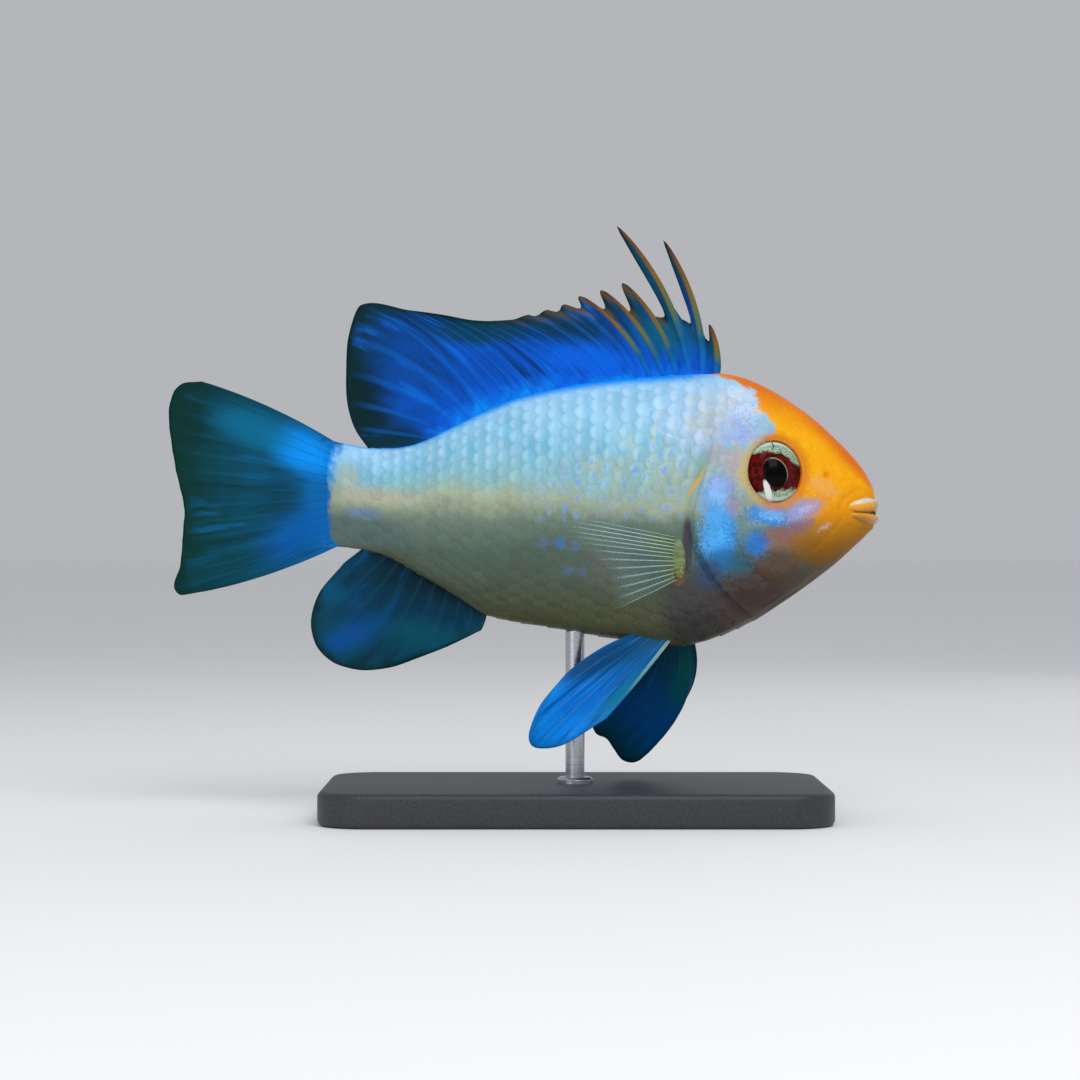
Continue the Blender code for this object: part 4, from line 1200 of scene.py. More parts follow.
@dataclass(frozen=True)
class Eye:
    """One eye: a glossy globe with iris and pupil in a rim of skin."""

    body: Body
    side: Side
    radius: float = 2.74
    half_thickness: float = 1.72
    sink: float = 0.92
    rim_radius: float = 2.74
    rim_thickness: float = 0.1
    lens_radius: float = 1.05
    lens_height: float = 0.1
    groove_radius: float = 1.65
    groove_width: float = 0.35
    groove_depth: float = 0.07
    pupil_at: tuple[float, float] = (-0.2, -0.25)
    pupil_half: tuple[float, float] = (0.94, 1.2)
    pupil_lean: float = 24.0
    glint_at: tuple[float, float] = (-0.76, -1.7)
    glint_half: tuple[float, float] = (0.95, 0.25)

    def axes(self) -> tuple[Array, Array, Array, Array]:
        """The eye's middle on the body, and its forward, upward and outward directions."""
        x, z = self.body.eye
        step = 0.02
        centre = self.body.side_point(x, z, self.side)[0]
        forward = self.body.side_point(x + step, z, self.side)[0] - centre
        upward = self.body.side_point(x, z + step, self.side)[0] - centre
        outward = unit(np.cross(forward, upward)) * -self.side.value
        forward = unit(forward)
        return centre, forward, np.cross(forward, outward) * self.side.value, outward

    def form(self, share: Array, angle: Array) -> Array:
        """Points of the globe for shares from its front pole and angles round it."""
        centre, forward, upward, outward = self.axes()
        reach = np.sin(share * math.pi) * self.radius
        height = np.cos(share * math.pi) * self.half_thickness
        front = ease(0.5, 0.4, share)
        lens = self.lens_height * np.exp(-(reach / self.lens_radius) ** 4)
        groove = self.groove_depth * np.exp(-((reach - self.groove_radius) / self.groove_width) ** 2)
        height = height + front * (lens - groove)
        narrow = np.cos(angle) * reach * self.body.eye_narrowing
        flat = forward * narrow[:, None] + upward * (np.sin(angle) * reach)[:, None]
        return centre - outward * self.sink + flat + outward * height[:, None]

    def rim_form(self, share: Array, angle: Array) -> Array:
        """Points of the skin's rim for shares round the eye and angles round the rim's own section."""
        centre, forward, upward, outward = self.axes()
        turn = share * 2 * math.pi
        flat = forward * (np.cos(turn) * self.body.eye_narrowing)[:, None] + upward * np.sin(turn)[:, None]
        near = centre + flat * self.rim_radius
        at = self.body.side_point(near[:, 0], near[:, 2], self.side)
        uneven = 1 + 0.12 * np.sin(5 * turn + 1.0)
        return (at + flat * (np.cos(angle) * self.rim_thickness * 1.3 * uneven)[:, None]
                + outward * (0.02 + np.sin(angle) * self.rim_thickness * 0.8)[:, None])

    def build(self) -> list[Piece]:
        """The globe, in the place of the CAD eye, and the rim round it."""
        globe = Modeller.ball(f"eyeball_{self.side.word}", 96, 72, self.form)
        centre, forward, upward, _ = self.axes()
        at = Modeller.on_fish(globe) - centre
        Modeller.store(globe, "ahead", at @ forward)
        Modeller.store(globe, "above", at @ upward)
        self.dress(globe)
        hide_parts(f"eye_{self.side.word}")
        return [globe, self.build_rim()]

    def build_rim(self) -> Piece:
        """The thin fold of skin round the eye, with painted shade on its lower half."""
        rim = Modeller.add(f"eye_rim_{self.side.word}", bpy.ops.mesh.primitive_torus_add, major_segments=96,
                           minor_segments=16, major_radius=1.0, minor_radius=0.25)
        start = Modeller.corners(rim)
        turn = np.arctan2(start[:, 1], start[:, 0]) / (2 * math.pi)
        section = np.arctan2(start[:, 2], np.hypot(start[:, 0], start[:, 1]) - 1.0)
        Modeller.place(rim, self.rim_form(turn, section))
        Modeller.face_outward(rim)
        bpy.ops.object.shade_smooth()
        graph = Graph(f"eye rim {self.side.word}", Coat_Weight=0.2, Coat_Roughness=0.15)
        grain = graph.noise(2.5, 3.0)
        behind = graph.mix((graph.x + grain.swing(1.5)).fall(19.2, 20.8), rgb(222, 128, 12), rgb(196, 172, 104))
        # Painted shade: the rim's lower half is a darker ochre.
        colour = graph.mix((graph.z + (grain - 0.5)).fall(-0.2, 1.2), behind, rgb(176, 126, 44))
        graph.bump(graph.noise(8.0, 3.0), 0.03)
        graph.dress(rim, Base_Color=colour, Roughness=grain * 0.2 + 0.25)
        return rim

    def dress(self, globe: Piece) -> None:
        """Paints a leaning oval pupil in a silver ring, a dark red iris and its silver-green top and foot, and a
        painted white glint below the pupil.
        """
        graph = Graph(f"eye {self.side.word}", Coat_Weight=0.03, Coat_Roughness=0.05, Specular_IOR_Level=0.05)
        ahead, above = graph.attribute("ahead"), graph.attribute("above")
        grain = graph.noise(2.6, 4.0)
        fine = graph.noise(9.0, 3.0)
        lean = math.radians(self.pupil_lean)
        x, z = ahead - self.pupil_at[0], above - self.pupil_at[1]
        across = (x * math.cos(lean) + z * math.sin(lean)) / self.pupil_half[0]
        up = (z * math.cos(lean) - x * math.sin(lean)) / self.pupil_half[1]
        pupil, whole = across.length(up), ahead.length(above)
        red = graph.mix(grain.rise(0.35, 0.65), rgb(102, 12, 12), rgb(46, 6, 8))
        silver = graph.mix(fine.rise(0.32, 0.68), rgb(184, 206, 180), rgb(84, 114, 96))
        top = (above + ahead.rise(0.2, 2.0) + grain.swing(0.7)).rise(1.4, 1.65)
        foot = (above - ahead * 0.1 + grain.swing(0.7)).fall(-1.85, -1.5)
        iris = graph.mix(top.most(foot), red, silver)
        iris = graph.mix((whole - 2.34).size().fall(0.05, 0.2) * top.most(foot) * 0.9, iris, rgb(196, 218, 208))
        iris = graph.mix(whole.rise(2.47, 2.62) * 0.5, iris, rgb(40, 26, 16))
        tick = (ahead + 0.1).size().fall(0.02, 0.08) * above.rise(1.8, 2.0)
        iris = graph.mix(tick * 0.85, iris, rgb(12, 12, 10))
        ring = (pupil - 1.06).size().fall(0.02, 0.07) * ((ahead + above) * 0.3 + grain).rise(0.3, 0.9)
        iris = graph.mix(ring * 0.8, iris, rgb(190, 170, 150))
        iris = graph.mix(fine.rise(0.6, 0.7) * (ahead - 1.2).size().fall(0.1, 0.6) * 0.6, iris, rgb(70, 84, 120))
        # Painted glint: a white highlight from the pupil's lower rear edge down towards the rim.
        x, z = ahead - self.glint_at[0], above - self.glint_at[1]
        along = (z * -0.94 + x * 0.34) / self.glint_half[0]
        aside = (z * 0.34 + x * 0.94) / self.glint_half[1]
        glint = (along * along + aside * aside + fine.swing(0.8)).fall(0.7, 1.3)
        iris = graph.mix(glint * 0.9, iris, rgb(232, 238, 236))
        colour = graph.mix(pupil.fall(0.99, 1.05), iris, rgb(3, 3, 5))
        graph.dress(globe, Base_Color=colour, Roughness=fine * 0.15 + 0.12)


@dataclass(frozen=True)
class FinPaint:
    """Colours of a fin from its root to its edge, with streaks along its rays."""

    name: str
    stops: Stops
    margin: Colour
    bright: Colour
    dark: Colour
    streaks: float = 0.6
    pace: float = 1.4
    margin_share: float = 0.93
    ray: Colour = rgb(90, 170, 210)
    ray_amount: float = 0.12
    alpha: float = 1.0
    tips: Colour = rgb(96, 76, 40)
    tipped: float = 0.0
    patches: tuple[Patch, ...] = ()

    def dress(self, fin: Piece, rays: int) -> None:
        """Paints a fin.

        Args:
            fin: The fin, with its columns along U and its rays along V.
            rays: Number of its rays.
        """
        graph = Graph(self.name, Coat_Weight=0.03, Coat_Roughness=0.3, Specular_IOR_Level=0.07)
        u, v = graph.uv()
        ray = u * (rays - 1.0)
        grain = graph.noise(0.7, 4.0)
        drawn = graph.noise(1.0, 4.0, graph.join(ray * self.pace, v * 1.5))
        line = ray.nearest().fall(0.04, 0.16)
        colour = graph.ramp(v + grain.swing(0.3), self.stops)
        inner = v.rise(0.02, 0.2)
        colour = graph.mix(drawn.rise(0.54, 0.68) * self.streaks, colour, self.bright)
        colour = graph.mix(drawn.fall(0.34, 0.48) * inner * self.streaks, colour, self.dark)
        for patch in self.patches:
            colour = graph.patch(colour, patch, grain)
        colour = graph.mix((v + grain.swing(0.16)).rise(self.margin_share - 0.06, 1.0), colour, self.margin)
        if self.tipped:
            flap = ray.nearest().fall(0.15, 0.45) * v.rise(0.76, 0.94)
            flap = flap * ray.rise(2.2, 3.0) * ray.fall(self.tipped - 6, self.tipped)
            colour = graph.mix(flap * 0.7, colour, self.tips)
        colour = graph.mix(line * self.ray_amount * v.fall(0.7, 1.0), colour, self.ray)
        joints = (v * 90.0).sine() * 0.5 + 0.5
        coarse = graph.bump(joints * line, 0.015)
        graph.bump(graph.noise(5.0, 3.0), 0.02, coarse)
        inputs = {"Base_Color": colour, "Roughness": grain * 0.25 + 0.35}
        if self.alpha < 1.0:
            clear = line * (ray.fall(1.0, 7.0) * 0.6 + 0.3) * v.fall(0.15, 0.9)
            inputs["Alpha"] = clear * (0.9 - self.alpha) + v.fall(0.0, 0.4) * 0.3 + v.fall(0.7, 1.0) * self.alpha
        graph.dress(fin, **inputs)


@dataclass(frozen=True)
class SpinePaint:
    """Colours of hard spines from root to tip."""

    stops: Stops

    def dress(self, spine: Piece) -> None:
        """Paints a spine, whose length runs along V."""
        graph = Graph(f"{spine.name} skin", Coat_Weight=0.04, Coat_Roughness=0.25, Specular_IOR_Level=0.1)
        grain = graph.noise(1.2, 3.0)
        colour = graph.ramp(1.0 - graph.uv()[1] + grain.swing(0.2), self.stops)
        graph.bump(graph.noise(6.0, 3.0), 0.02)
        graph.dress(spine, Base_Color=colour, Roughness=grain * 0.2 + 0.32)


@dataclass(frozen=True)
class Fin:
    """A fin: a thin membrane with branching rays raised in it, and hard spines where it has them.

    The rays run from the roots' curve to the tips' curve. Between two rays the membrane ends on the curve
    through edges, or where there is none just inside the tips, by the share scallop. Behind a ray that stands
    out, a round flap falls to the edge, faster with a higher number in falls. The first and last rays bow
    apart by flare, all rays bow sideways by arch and along the fin by lean, and the membrane ripples by wave.
    """

    name: str
    nodes: tuple[str, ...]
    paint: FinPaint
    rays: int
    roots: Rule
    tips: Track
    edges: Track | None = None
    falls: dict[int, float] = field(default_factory=dict)
    scallop: float = 0.006
    lean: float = 0.0
    arch: float = 0.0
    flare: float = 0.0
    wave: float = 0.0
    ripples: float = 1.5
    spines: int = 0
    spine_radius: float = 0.26
    spine_paint: SpinePaint | None = None
    front_paint: SpinePaint | None = None
    fronted: int = 0
    columns: int = 12
    rows: int = 44
    membrane: float = 0.13
    ray_height: float = 0.11
    slot: str = "fin"
    body: Body = Body()

    @property
    def pace(self) -> float:
        """Places on the tips' curve from one ray to the next."""
        return self.tips.stations[-1][0] / (self.rays - 1)

    def end(self, ray: Array) -> Array:
        """Where the fin ends along rays, or between them for broken numbers."""
        whole = np.floor(ray + 1e-6)
        part = ray - whole
        if self.edges is None:
            dip = 1 - self.scallop * np.sin(math.pi * part)
            start = self.roots(ray)
            return start + (self.tips(ray * self.pace) - start) * dip[:, None]
        power = np.array([self.falls.get(i, 1.0) for i in range(self.rays)])[whole.astype(int)]
        share = (0.5 + 0.5 * np.cos(math.pi * np.minimum(part / 0.9, 1))) ** power
        return self.edges(ray) + (self.tips(whole) - self.edges(whole)) * share[:, None]

    def point(self, ray: Array, share: Array) -> Array:
        """Points at shares of the way along rays."""
        start = self.roots(ray)
        chord = self.end(ray) - start
        swell = 4 * share * (1 - share)
        apart = self.flare * (1 - 2 * ray / (self.rays - 1))
        lean = self.lean * ease(self.rays - 1, self.rays - 5, ray)
        bow = np.stack([chord[:, 2] * lean, np.full_like(share, self.arch), apart - chord[:, 0] * lean], -1)
        here = start + chord * share[:, None] + bow * swell[:, None]
        ripple = self.wave * share ** 2 * np.sin(2 * math.pi * self.ripples * ray / self.rays)
        here[:, 1] += ripple + self.body.swing(here[:, 0])
        return here

    def thickness(self, ray: Array, share: Array) -> Array:
        """Thickness of membrane and rays, which branch on their way out."""
        part = np.abs(ray - np.round(ray))
        soft = ray > self.spines - 0.5
        split = soft * (0.15 * ease(0.3, 0.5, share) + 0.1 * ease(0.65, 0.85, share))
        inner = soft * 0.08 * ease(0.65, 0.85, share)
        ridge = np.exp(-((part - split) / 0.06) ** 2)
        ridge = np.maximum(ridge, np.exp(-((part - inner) / 0.05) ** 2) * (inner > 0.02))
        edge = 1 - 0.6 * ease(0.94, 1.0, share)
        return (self.membrane * (1 - 0.35 * share) + self.ray_height * ridge * (1 - 0.8 * share)) * edge

    def build(self) -> list[Piece]:
        """The membrane, in the place of the fin's CAD nodes, and the spines."""
        seen = []

        def form(across: Array, along: Array) -> Array:
            """Points of the membrane's middle sheet."""
            ray = across * (self.rays - 1)
            seen.append(self.thickness(ray, along))
            return self.point(ray, along)

        fin = Modeller.sheet(self.name, (self.rays - 1) * self.columns, self.rows, form)
        Modeller.thicken(fin, seen[0])
        self.paint.dress(fin, self.rays)
        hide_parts(*self.nodes)
        return [fin, *(self.build_spine(ray) for ray in range(self.spines))]

    def build_spine(self, ray: int) -> Piece:
        """One hard spine, flattened and drawn to a point."""

        def form(share: Array, angle: Array) -> Array:
            """Points of the spine for shares along it and angles round it."""
            rays = np.full_like(share, float(ray))
            way = 0.01 + 0.985 * share
            here = self.point(rays, way)
            ahead = unit(self.point(rays, way + 0.002) - self.point(rays, way - 0.002))
            side = unit(np.cross(ahead, np.array([0.0, 1.0, 0.0])))
            other = np.cross(ahead, side)
            hidden = 0.6 if 0 < self.fronted <= ray else 1.0
            size = self.spine_radius * (1 - 0.45 * ray / self.spines) * hidden
            radius = size * (1 - 0.6 * way) * np.clip(1 - np.abs(2 * share - 1) ** 9, 0, 1) ** 0.5
            return here + (side * np.cos(angle)[:, None] + other * np.sin(angle)[:, None] * 0.6) * radius[:, None]

        spine = Modeller.ball(f"{self.name}_spine_{ray + 1:02d}", 12, 40, form)
        (self.front_paint if ray < self.fronted else self.spine_paint).dress(spine)
        return spine


@dataclass(frozen=True)
class FinSet:
    """All seven fins of the fish."""

    body: Body
    pelvic_turn: float = 0.27
    pelvic_sink: float = 0.6
    pectoral_sink: float = 0.45

    @staticmethod
    def spread(first: float, last: float, rays: int) -> Rule:
        """Even places from first to last for the rays' roots."""
        return lambda ray: first + (last - first) * ray / (rays - 1)

    @staticmethod
    def along_edge(line: Profile, inset: float, place: Rule) -> Rule:
        """Roots of an upright fin just inside the line of the back or the belly."""

        def roots(ray: Array) -> Array:
            """Points of the line, moved by inset."""
            x = place(ray)
            return np.stack([x, 0 * x, line(x) + inset], -1)

        return roots

    def dorsal(self) -> Fin:
        """The long fin on the back."""
        rays = 24
        roots = self.along_edge(self.body.back, -0.4, self.spread(16.3, -8.4, rays))
        rear = ((9, -1.0, 15.45), (11, -3.9, 15.4), (13, -6.7, 15.9), (15, -9.4, 16.3),
                (18, -13.5, 16.8), (19, -14.55, 14.2), (20, -14.75, 11.1), (21, -14.65, 8.6),
                (22, -14.0, 6.4), (23, -12.7, 4.5))
        tips = ((0, 15.75, 15.1), (1, 11.9, 22.2), (2, 8.0, 23.4), (3, 8.6, 18.6), (4, 6.8, 18.0),
                (5, 5.0, 17.5), (6, 3.7, 16.8), (8, 0.6, 15.9), *rear)
        edges = ((0, 16.1, 12.9), (0.85, 15.5, 13.9), (1.85, 13.6, 15.5), (2.85, 11.4, 15.75),
                 (3.85, 9.1, 16.2), (5.85, 4.9, 16.45), (7.85, 1.2, 15.8), *rear)
        paint = FinPaint(
            "dorsal fin", stops((0.0, 0, 146, 240), (0.07, 0, 108, 222), (0.16, 0, 82, 198), (0.5, 0, 76, 178),
                                (0.72, 0, 58, 124), (0.92, 0, 50, 68)),
            rgb(0, 38, 42), rgb(0, 108, 226), rgb(0, 42, 84), 0.8, 1.6, ray=rgb(0, 106, 206), ray_amount=0.3,
            tipped=11.0,
            patches=(
                Blot(-13.6, 8.9, 2.1, 3.8, rgb(0, 34, 36), 0.95),
                Blot(-11.8, 6.6, 4.2, 1.9, rgb(0, 38, 40), 0.95, turn=-18),
                Patch(-8.6, 11.4, 4.6, 3.0, rgb(0, 70, 144), 0.5, turn=-24, ragged=0.3, soft=0.7),
                Blot(-10.8, 5.2, 4.4, 0.8, rgb(0, 46, 50), 0.9, turn=6),
                Blot(-9.0, 7.4, 2.8, 1.0, rgb(0, 70, 150), 0.6, turn=20, ragged=0.3),
                Blot(12.0, 14.4, 3.6, 2.2, rgb(0, 88, 112), 0.85, turn=-20),
                Blot(10.4, 18.8, 3.4, 4.0, rgb(0, 66, 88), 0.9, turn=30),
                Blot(15.8, 13.4, 0.9, 1.8, rgb(0, 66, 84), 0.8),
                Blot(4.0, 14.9, 4.6, 1.4, rgb(0, 50, 72), 0.85, turn=-8, ragged=0.3),
                Blot(-3.6, 14.4, 5.0, 1.2, rgb(0, 60, 74), 0.85, ragged=0.3),
                Blot(5.6, 12.1, 4.6, 1.4, rgb(0, 100, 228), 0.8, turn=-8, ragged=0.3),
                Blot(-3.0, 11.4, 4.0, 1.6, rgb(0, 70, 166), 0.6, turn=20, ragged=0.3)))
        tan = SpinePaint(stops((0.0, 0, 110, 220), (0.22, 0, 92, 140), (0.4, 84, 108, 72), (0.62, 122, 92, 40),
                               (0.9, 100, 58, 32), (1.0, 14, 34, 32)))
        plain = SpinePaint(stops((0.0, 0, 92, 206), (0.6, 0, 74, 168), (0.78, 14, 66, 84), (0.92, 74, 66, 42),
                                 (1.0, 30, 30, 26)))
        return Fin("fin_dorsal_soft", ("fin_dorsal_front", "fin_dorsal_rear"), paint, rays, roots,
                   Track.upright(*tips), Track.upright(*edges), {0: 2.0, 1: 4.0, 2: 4.0}, lean=0.08, wave=0.5,
                   ripples=1.6, spines=14, spine_radius=0.36, spine_paint=plain, front_paint=tan, fronted=6)

    def anal(self) -> Fin:
        """The fin under the tail stem."""
        rays = 11
        roots = self.along_edge(self.body.belly, 0.35, self.spread(-3.1, -13.2, rays))
        tips = Track.upright(
            (0, -3.5, -10.6), (1, -4.7, -11.2), (2, -6.4, -12.0), (3, -8.6, -12.85), (4, -10.9, -13.65),
            (5, -13.4, -13.9), (6, -15.7, -13.3), (7, -17.2, -11.9), (8, -17.7, -9.8), (9, -17.0, -7.4),
            (10, -15.0, -5.0))
        paint = FinPaint(
            "anal fin", stops((0.0, 0, 20, 28), (0.2, 0, 46, 66), (0.55, 0, 58, 88), (0.9, 0, 66, 86)),
            rgb(0, 44, 48), rgb(0, 74, 128), rgb(0, 38, 54), 0.6, 0.9, ray=rgb(0, 84, 108), ray_amount=0.18,
            patches=(
                Patch(-14.6, -11.2, 3.4, 1.3, rgb(0, 78, 154), 0.8, turn=26, ragged=0.3, soft=0.9),
                Patch(-7.6, -11.2, 4.0, 1.4, rgb(0, 84, 100), 0.75, turn=-16, ragged=0.3, soft=0.9),
                Blot(-16.0, -7.4, 1.6, 1.3, rgb(0, 82, 118), 0.7)))
        spine = SpinePaint(stops((0.0, 0, 40, 52), (0.6, 0, 70, 88), (1.0, 0, 52, 56)))
        return Fin("fin_anal_soft", ("fin_anal",), paint, rays, roots, tips, scallop=0.002, lean=-0.05, wave=0.45,
                   ripples=1.3, spines=3, spine_paint=spine, columns=14, rows=38)

    def tail(self) -> Fin:
        """The tail fin."""
        rays, root_x = 16, -15.0
        top, bottom = float(self.body.back(root_x)) - 0.4, float(self.body.belly(root_x)) + 0.4
        height = self.spread(top, bottom, rays)

        def roots(ray: Array) -> Array:
            """Roots inside the end of the tail stem."""
            return np.stack([np.full_like(ray, root_x), 0 * ray, height(ray)], -1)

        tips = Track.upright(
            (0, -27.1, 10.45), (1, -28.8, 10.3), (2, -29.7, 9.3), (3, -30.0, 7.4), (5, -29.4, 3.3),
            (7, -28.55, -0.2), (8, -28.6, -1.9), (10, -28.9, -5.2), (11, -29.45, -6.7), (12, -29.0, -7.6),
            (13, -27.5, -7.4))
        paint = FinPaint(
            "tail fin", stops((0.0, 0, 120, 206), (0.16, 0, 92, 146), (0.4, 0, 76, 106), (0.7, 0, 66, 84),
                              (0.92, 0, 54, 54)),
            rgb(0, 50, 44), rgb(0, 94, 142), rgb(0, 46, 50), 0.7, 1.1, ray=rgb(0, 104, 140), ray_amount=0.16,
            patches=(
                Patch(-16.6, 0.8, 2.2, 6.0, rgb(0, 100, 170), 1.0, ragged=0.15, soft=0.5),
                Blot(-18.4, 4.5, 3.6, 2.0, rgb(0, 146, 246), 1.0, turn=-26, ragged=0.15),
                Blot(-22.6, 6.4, 4.4, 1.8, rgb(0, 110, 150), 0.8, turn=-20),
                Blot(-20.2, 0.6, 2.0, 2.2, rgb(0, 60, 84), 0.8),
                Patch(-18.9, -2.5, 3.6, 1.9, rgb(0, 92, 180), 0.8, turn=34, ragged=0.3, soft=0.9),
                Blot(-28.4, 7.2, 2.2, 3.6, rgb(0, 50, 48), 0.9),
                Blot(-26.0, -5.2, 4.6, 1.7, rgb(0, 64, 76), 0.8, turn=16),
                Blot(-22.8, 9.3, 6.4, 0.5, rgb(0, 60, 60), 0.7, turn=-25)))
        return Fin("fin_tail_soft", ("fin_tail",), paint, rays, roots, tips, flare=0.5, scallop=0.002, wave=0.6,
                   ripples=1.2, columns=14, rows=50)

    def pelvic(self, side: Side, ends: tuple[float, float], tips: Track, paint: FinPaint, spine: SpinePaint,
               **bend: float) -> Fin:
        """One of the pair under the breast.

        Args:
            side: The fish's side.
            ends: X of the first and the last ray's root.
            tips: The rays' tips.
            paint: The membrane's colours.
            spine: The colours of the one spine.
            bend: The fin's lean and flare.

        Returns:
            The fin.
        """
        rays = 6
        place = self.spread(*ends, rays)

        def roots(ray: Array) -> Array:
            """Points inside the breast."""
            foot = self.body.smooth(place(ray), np.full_like(ray, (math.pi - self.pelvic_turn) * side.value))
            return foot + (0, 0, self.pelvic_sink)

        return Fin(f"fin_pelvic_{side.word}_soft", (f"fin_pelvic_{side.word}",), paint, rays, roots, tips,
                   scallop=0.002, wave=0.15, ripples=1.0, spines=1, spine_radius=0.2, spine_paint=spine,
                   columns=20, rows=38, **bend)

    def pelvic_right(self) -> Fin:
        """The pelvic fin on the near side, swept back."""
        tips = Track(((0, 6.9, 3.9, -17.8), (1, 3.5, 5.0, -19.8), (2, 1.2, 5.6, -20.0), (3, 0.65, 5.7, -18.9),
                      (4, 1.6, 5.0, -16.5), (5, 3.7, 3.7, -14.0)))
        paint = FinPaint(
            "pelvic fin right", stops((0.0, 30, 88, 104), (0.14, 0, 92, 150), (0.5, 0, 104, 196),
                                      (0.9, 0, 132, 236)),
            rgb(0, 112, 190), rgb(16, 144, 246), rgb(0, 66, 128), 0.85, 2.2, ray=rgb(90, 160, 190),
            patches=(Blot(8.6, -15.6, 3.8, 0.9, rgb(0, 114, 144), 0.85, turn=42),
                     Blot(6.0, -13.1, 5.2, 1.3, rgb(0, 62, 108), 0.9, turn=21),
                     Blot(2.4, -18.4, 1.8, 1.6, rgb(0, 136, 240), 0.6, turn=40)))
        spine = SpinePaint(stops((0.0, 150, 176, 170), (0.45, 96, 160, 170), (0.7, 0, 112, 170),
                                 (1.0, 0, 110, 190)))
        return self.pelvic(Side.RIGHT, (12.6, 9.9), tips.mirrored(), paint, spine, lean=0.03, flare=-0.5)

    def pelvic_left(self) -> Fin:
        """The pelvic fin on the far side, which hangs down, painted darker than the near one as painted shade."""
        tips = Track(((0, 12.6, 4.6, -18.1), (0.8, 11.6, 4.9, -20.0), (1.3, 10.8, 5.0, -21.1),
                      (1.7, 10.1, 5.0, -21.8), (2.1, 9.3, 5.0, -22.0), (2.5, 8.5, 4.8, -21.7), (3, 7.8, 4.6, -20.7),
                      (3.6, 7.2, 4.4, -19.9), (4.2, 6.3, 4.0, -19.4), (5, 5.7, 3.5, -18.0)))
        # Painted shade: this far fin takes darker blues than the near one.
        paint = FinPaint(
            "pelvic fin left", stops((0.0, 0, 58, 64), (0.3, 0, 60, 92), (0.7, 0, 72, 136), (0.95, 0, 74, 112)),
            rgb(0, 60, 76), rgb(0, 82, 150), rgb(0, 52, 76), 0.5, 1.6, ray=rgb(0, 80, 124), ray_amount=0.2,
            patches=(Blot(13.6, -14.6, 3.4, 1.0, rgb(0, 78, 78), 0.85, turn=76),))
        spine = SpinePaint(stops((0.0, 0, 56, 58), (1.0, 0, 48, 62)))
        return self.pelvic(Side.LEFT, (14.2, 11.3), tips, paint, spine, lean=-0.16)

    def pectoral(self, side: Side) -> Fin:
        """One fin of the pair behind the gill covers, nearly clear."""
        rays = 13
        height = self.spread(-2.8, -6.1, rays)
        tips = Track(((0, 2.9, 7.0, -0.8), (2, 2.5, 7.4, -2.0), (4, 4.8, 7.7, -3.7), (6, 6.8, 7.8, -6.2),
                      (8, 7.4, 7.4, -8.8)))

        def roots(ray: Array) -> Array:
            """Points inside the flank."""
            foot = self.body.side_point(np.full_like(ray, FinLobe.x), height(ray), side)
            return foot - (0, self.pectoral_sink * side.value, 0)

        paint = FinPaint(
            f"pectoral fin {side.word}", stops((0.0, 112, 124, 56), (0.16, 116, 140, 96), (0.4, 92, 140, 140),
                                               (1.0, 112, 144, 138)),
            rgb(124, 152, 146), rgb(128, 164, 160), rgb(70, 122, 132), 0.4, ray=rgb(208, 232, 226),
            ray_amount=0.9, alpha=0.14)
        return Fin(f"fin_pectoral_{side.word}_soft", (f"fin_pectoral_{side.word}",), paint, rays, roots,
                   tips if side is Side.LEFT else tips.mirrored(), arch=1.5 * side.value, wave=0.12,
                   ripples=2.0, scallop=0.012, columns=14, rows=38, membrane=0.05, ray_height=0.07,
                   slot="clear_fin")

    def build(self) -> list[Piece]:
        """All fins."""
        fins = [self.dorsal(), self.anal(), self.tail(), self.pelvic_left(), self.pelvic_right()]
        fins += [self.pectoral(side) for side in Side]
        return [piece for fin in fins for piece in fin.build()]


@dataclass(frozen=True)
class FinLobe:
    """The fleshy root of a pectoral fin."""

    body: Body
    side: Side
    x: float = 13.1
    z: float = -4.4
    half_length: float = 0.6
    half_height: float = 1.8
    half_depth: float = 0.27
    back_shift: float = 0.15

    def form(self, share: Array, angle: Array) -> Array:
        """Points of the lobe for shares from its outer pole and angles round it."""
        centre = self.body.side_point(self.x, self.z, self.side)[0]
        reach = np.sin(share * math.pi)
        x = (np.cos(angle) * self.half_length - 0.1 * np.sin(angle)) * reach - self.back_shift
        z = np.sin(angle) * reach * self.half_height
        y = (np.cos(share * math.pi) * self.half_depth - 0.02) * self.side.value
        return centre + np.stack([x, y + 0.02 * np.sin(11 * angle) * reach, z], -1)

    def build(self) -> Piece:
        """The lobe, yellow-green with orange dots and a painted highlight on its upper half."""
        lobe = Modeller.ball(f"pectoral_lobe_{self.side.word}", 40, 24, self.form)
        graph = Graph(f"pectoral lobe {self.side.word}", Coat_Weight=0.2, Coat_Roughness=0.2, Specular_IOR_Level=0.2)
        grain = graph.noise(2.0, 4.0)
        streaks = graph.noise(1.0, 2.0, graph.join(graph.x * 0.6, 0.0, graph.z * 3.4))
        colour = graph.mix(streaks.rise(0.35, 0.65), rgb(98, 108, 50), rgb(124, 144, 98))
        # Painted highlight: a lighter grey-green over the lobe's upper half.
        colour = graph.mix(graph.z.rise(-4.4, -2.8) * 0.7, colour, rgb(120, 148, 126))
        aside = (graph.x - (self.x - self.back_shift)) / self.half_length
        above = (graph.z - self.z) / self.half_height
        round_edge = (aside * aside + above * above + (grain - 0.5)).rise(0.45, 0.95)
        colour = graph.mix(round_edge * 0.85, colour, rgb(88, 100, 84))
        dots = graph.cells(3.4).fall(0.12, 0.3) * graph.z.fall(-4.8, -3.8)
        colour = graph.mix(dots, colour, rgb(222, 150, 24))
        graph.bump(graph.noise(6.0, 3.0), 0.04)
        graph.dress(lobe, Base_Color=colour, Roughness=grain * 0.2 + 0.3)
        return lobe


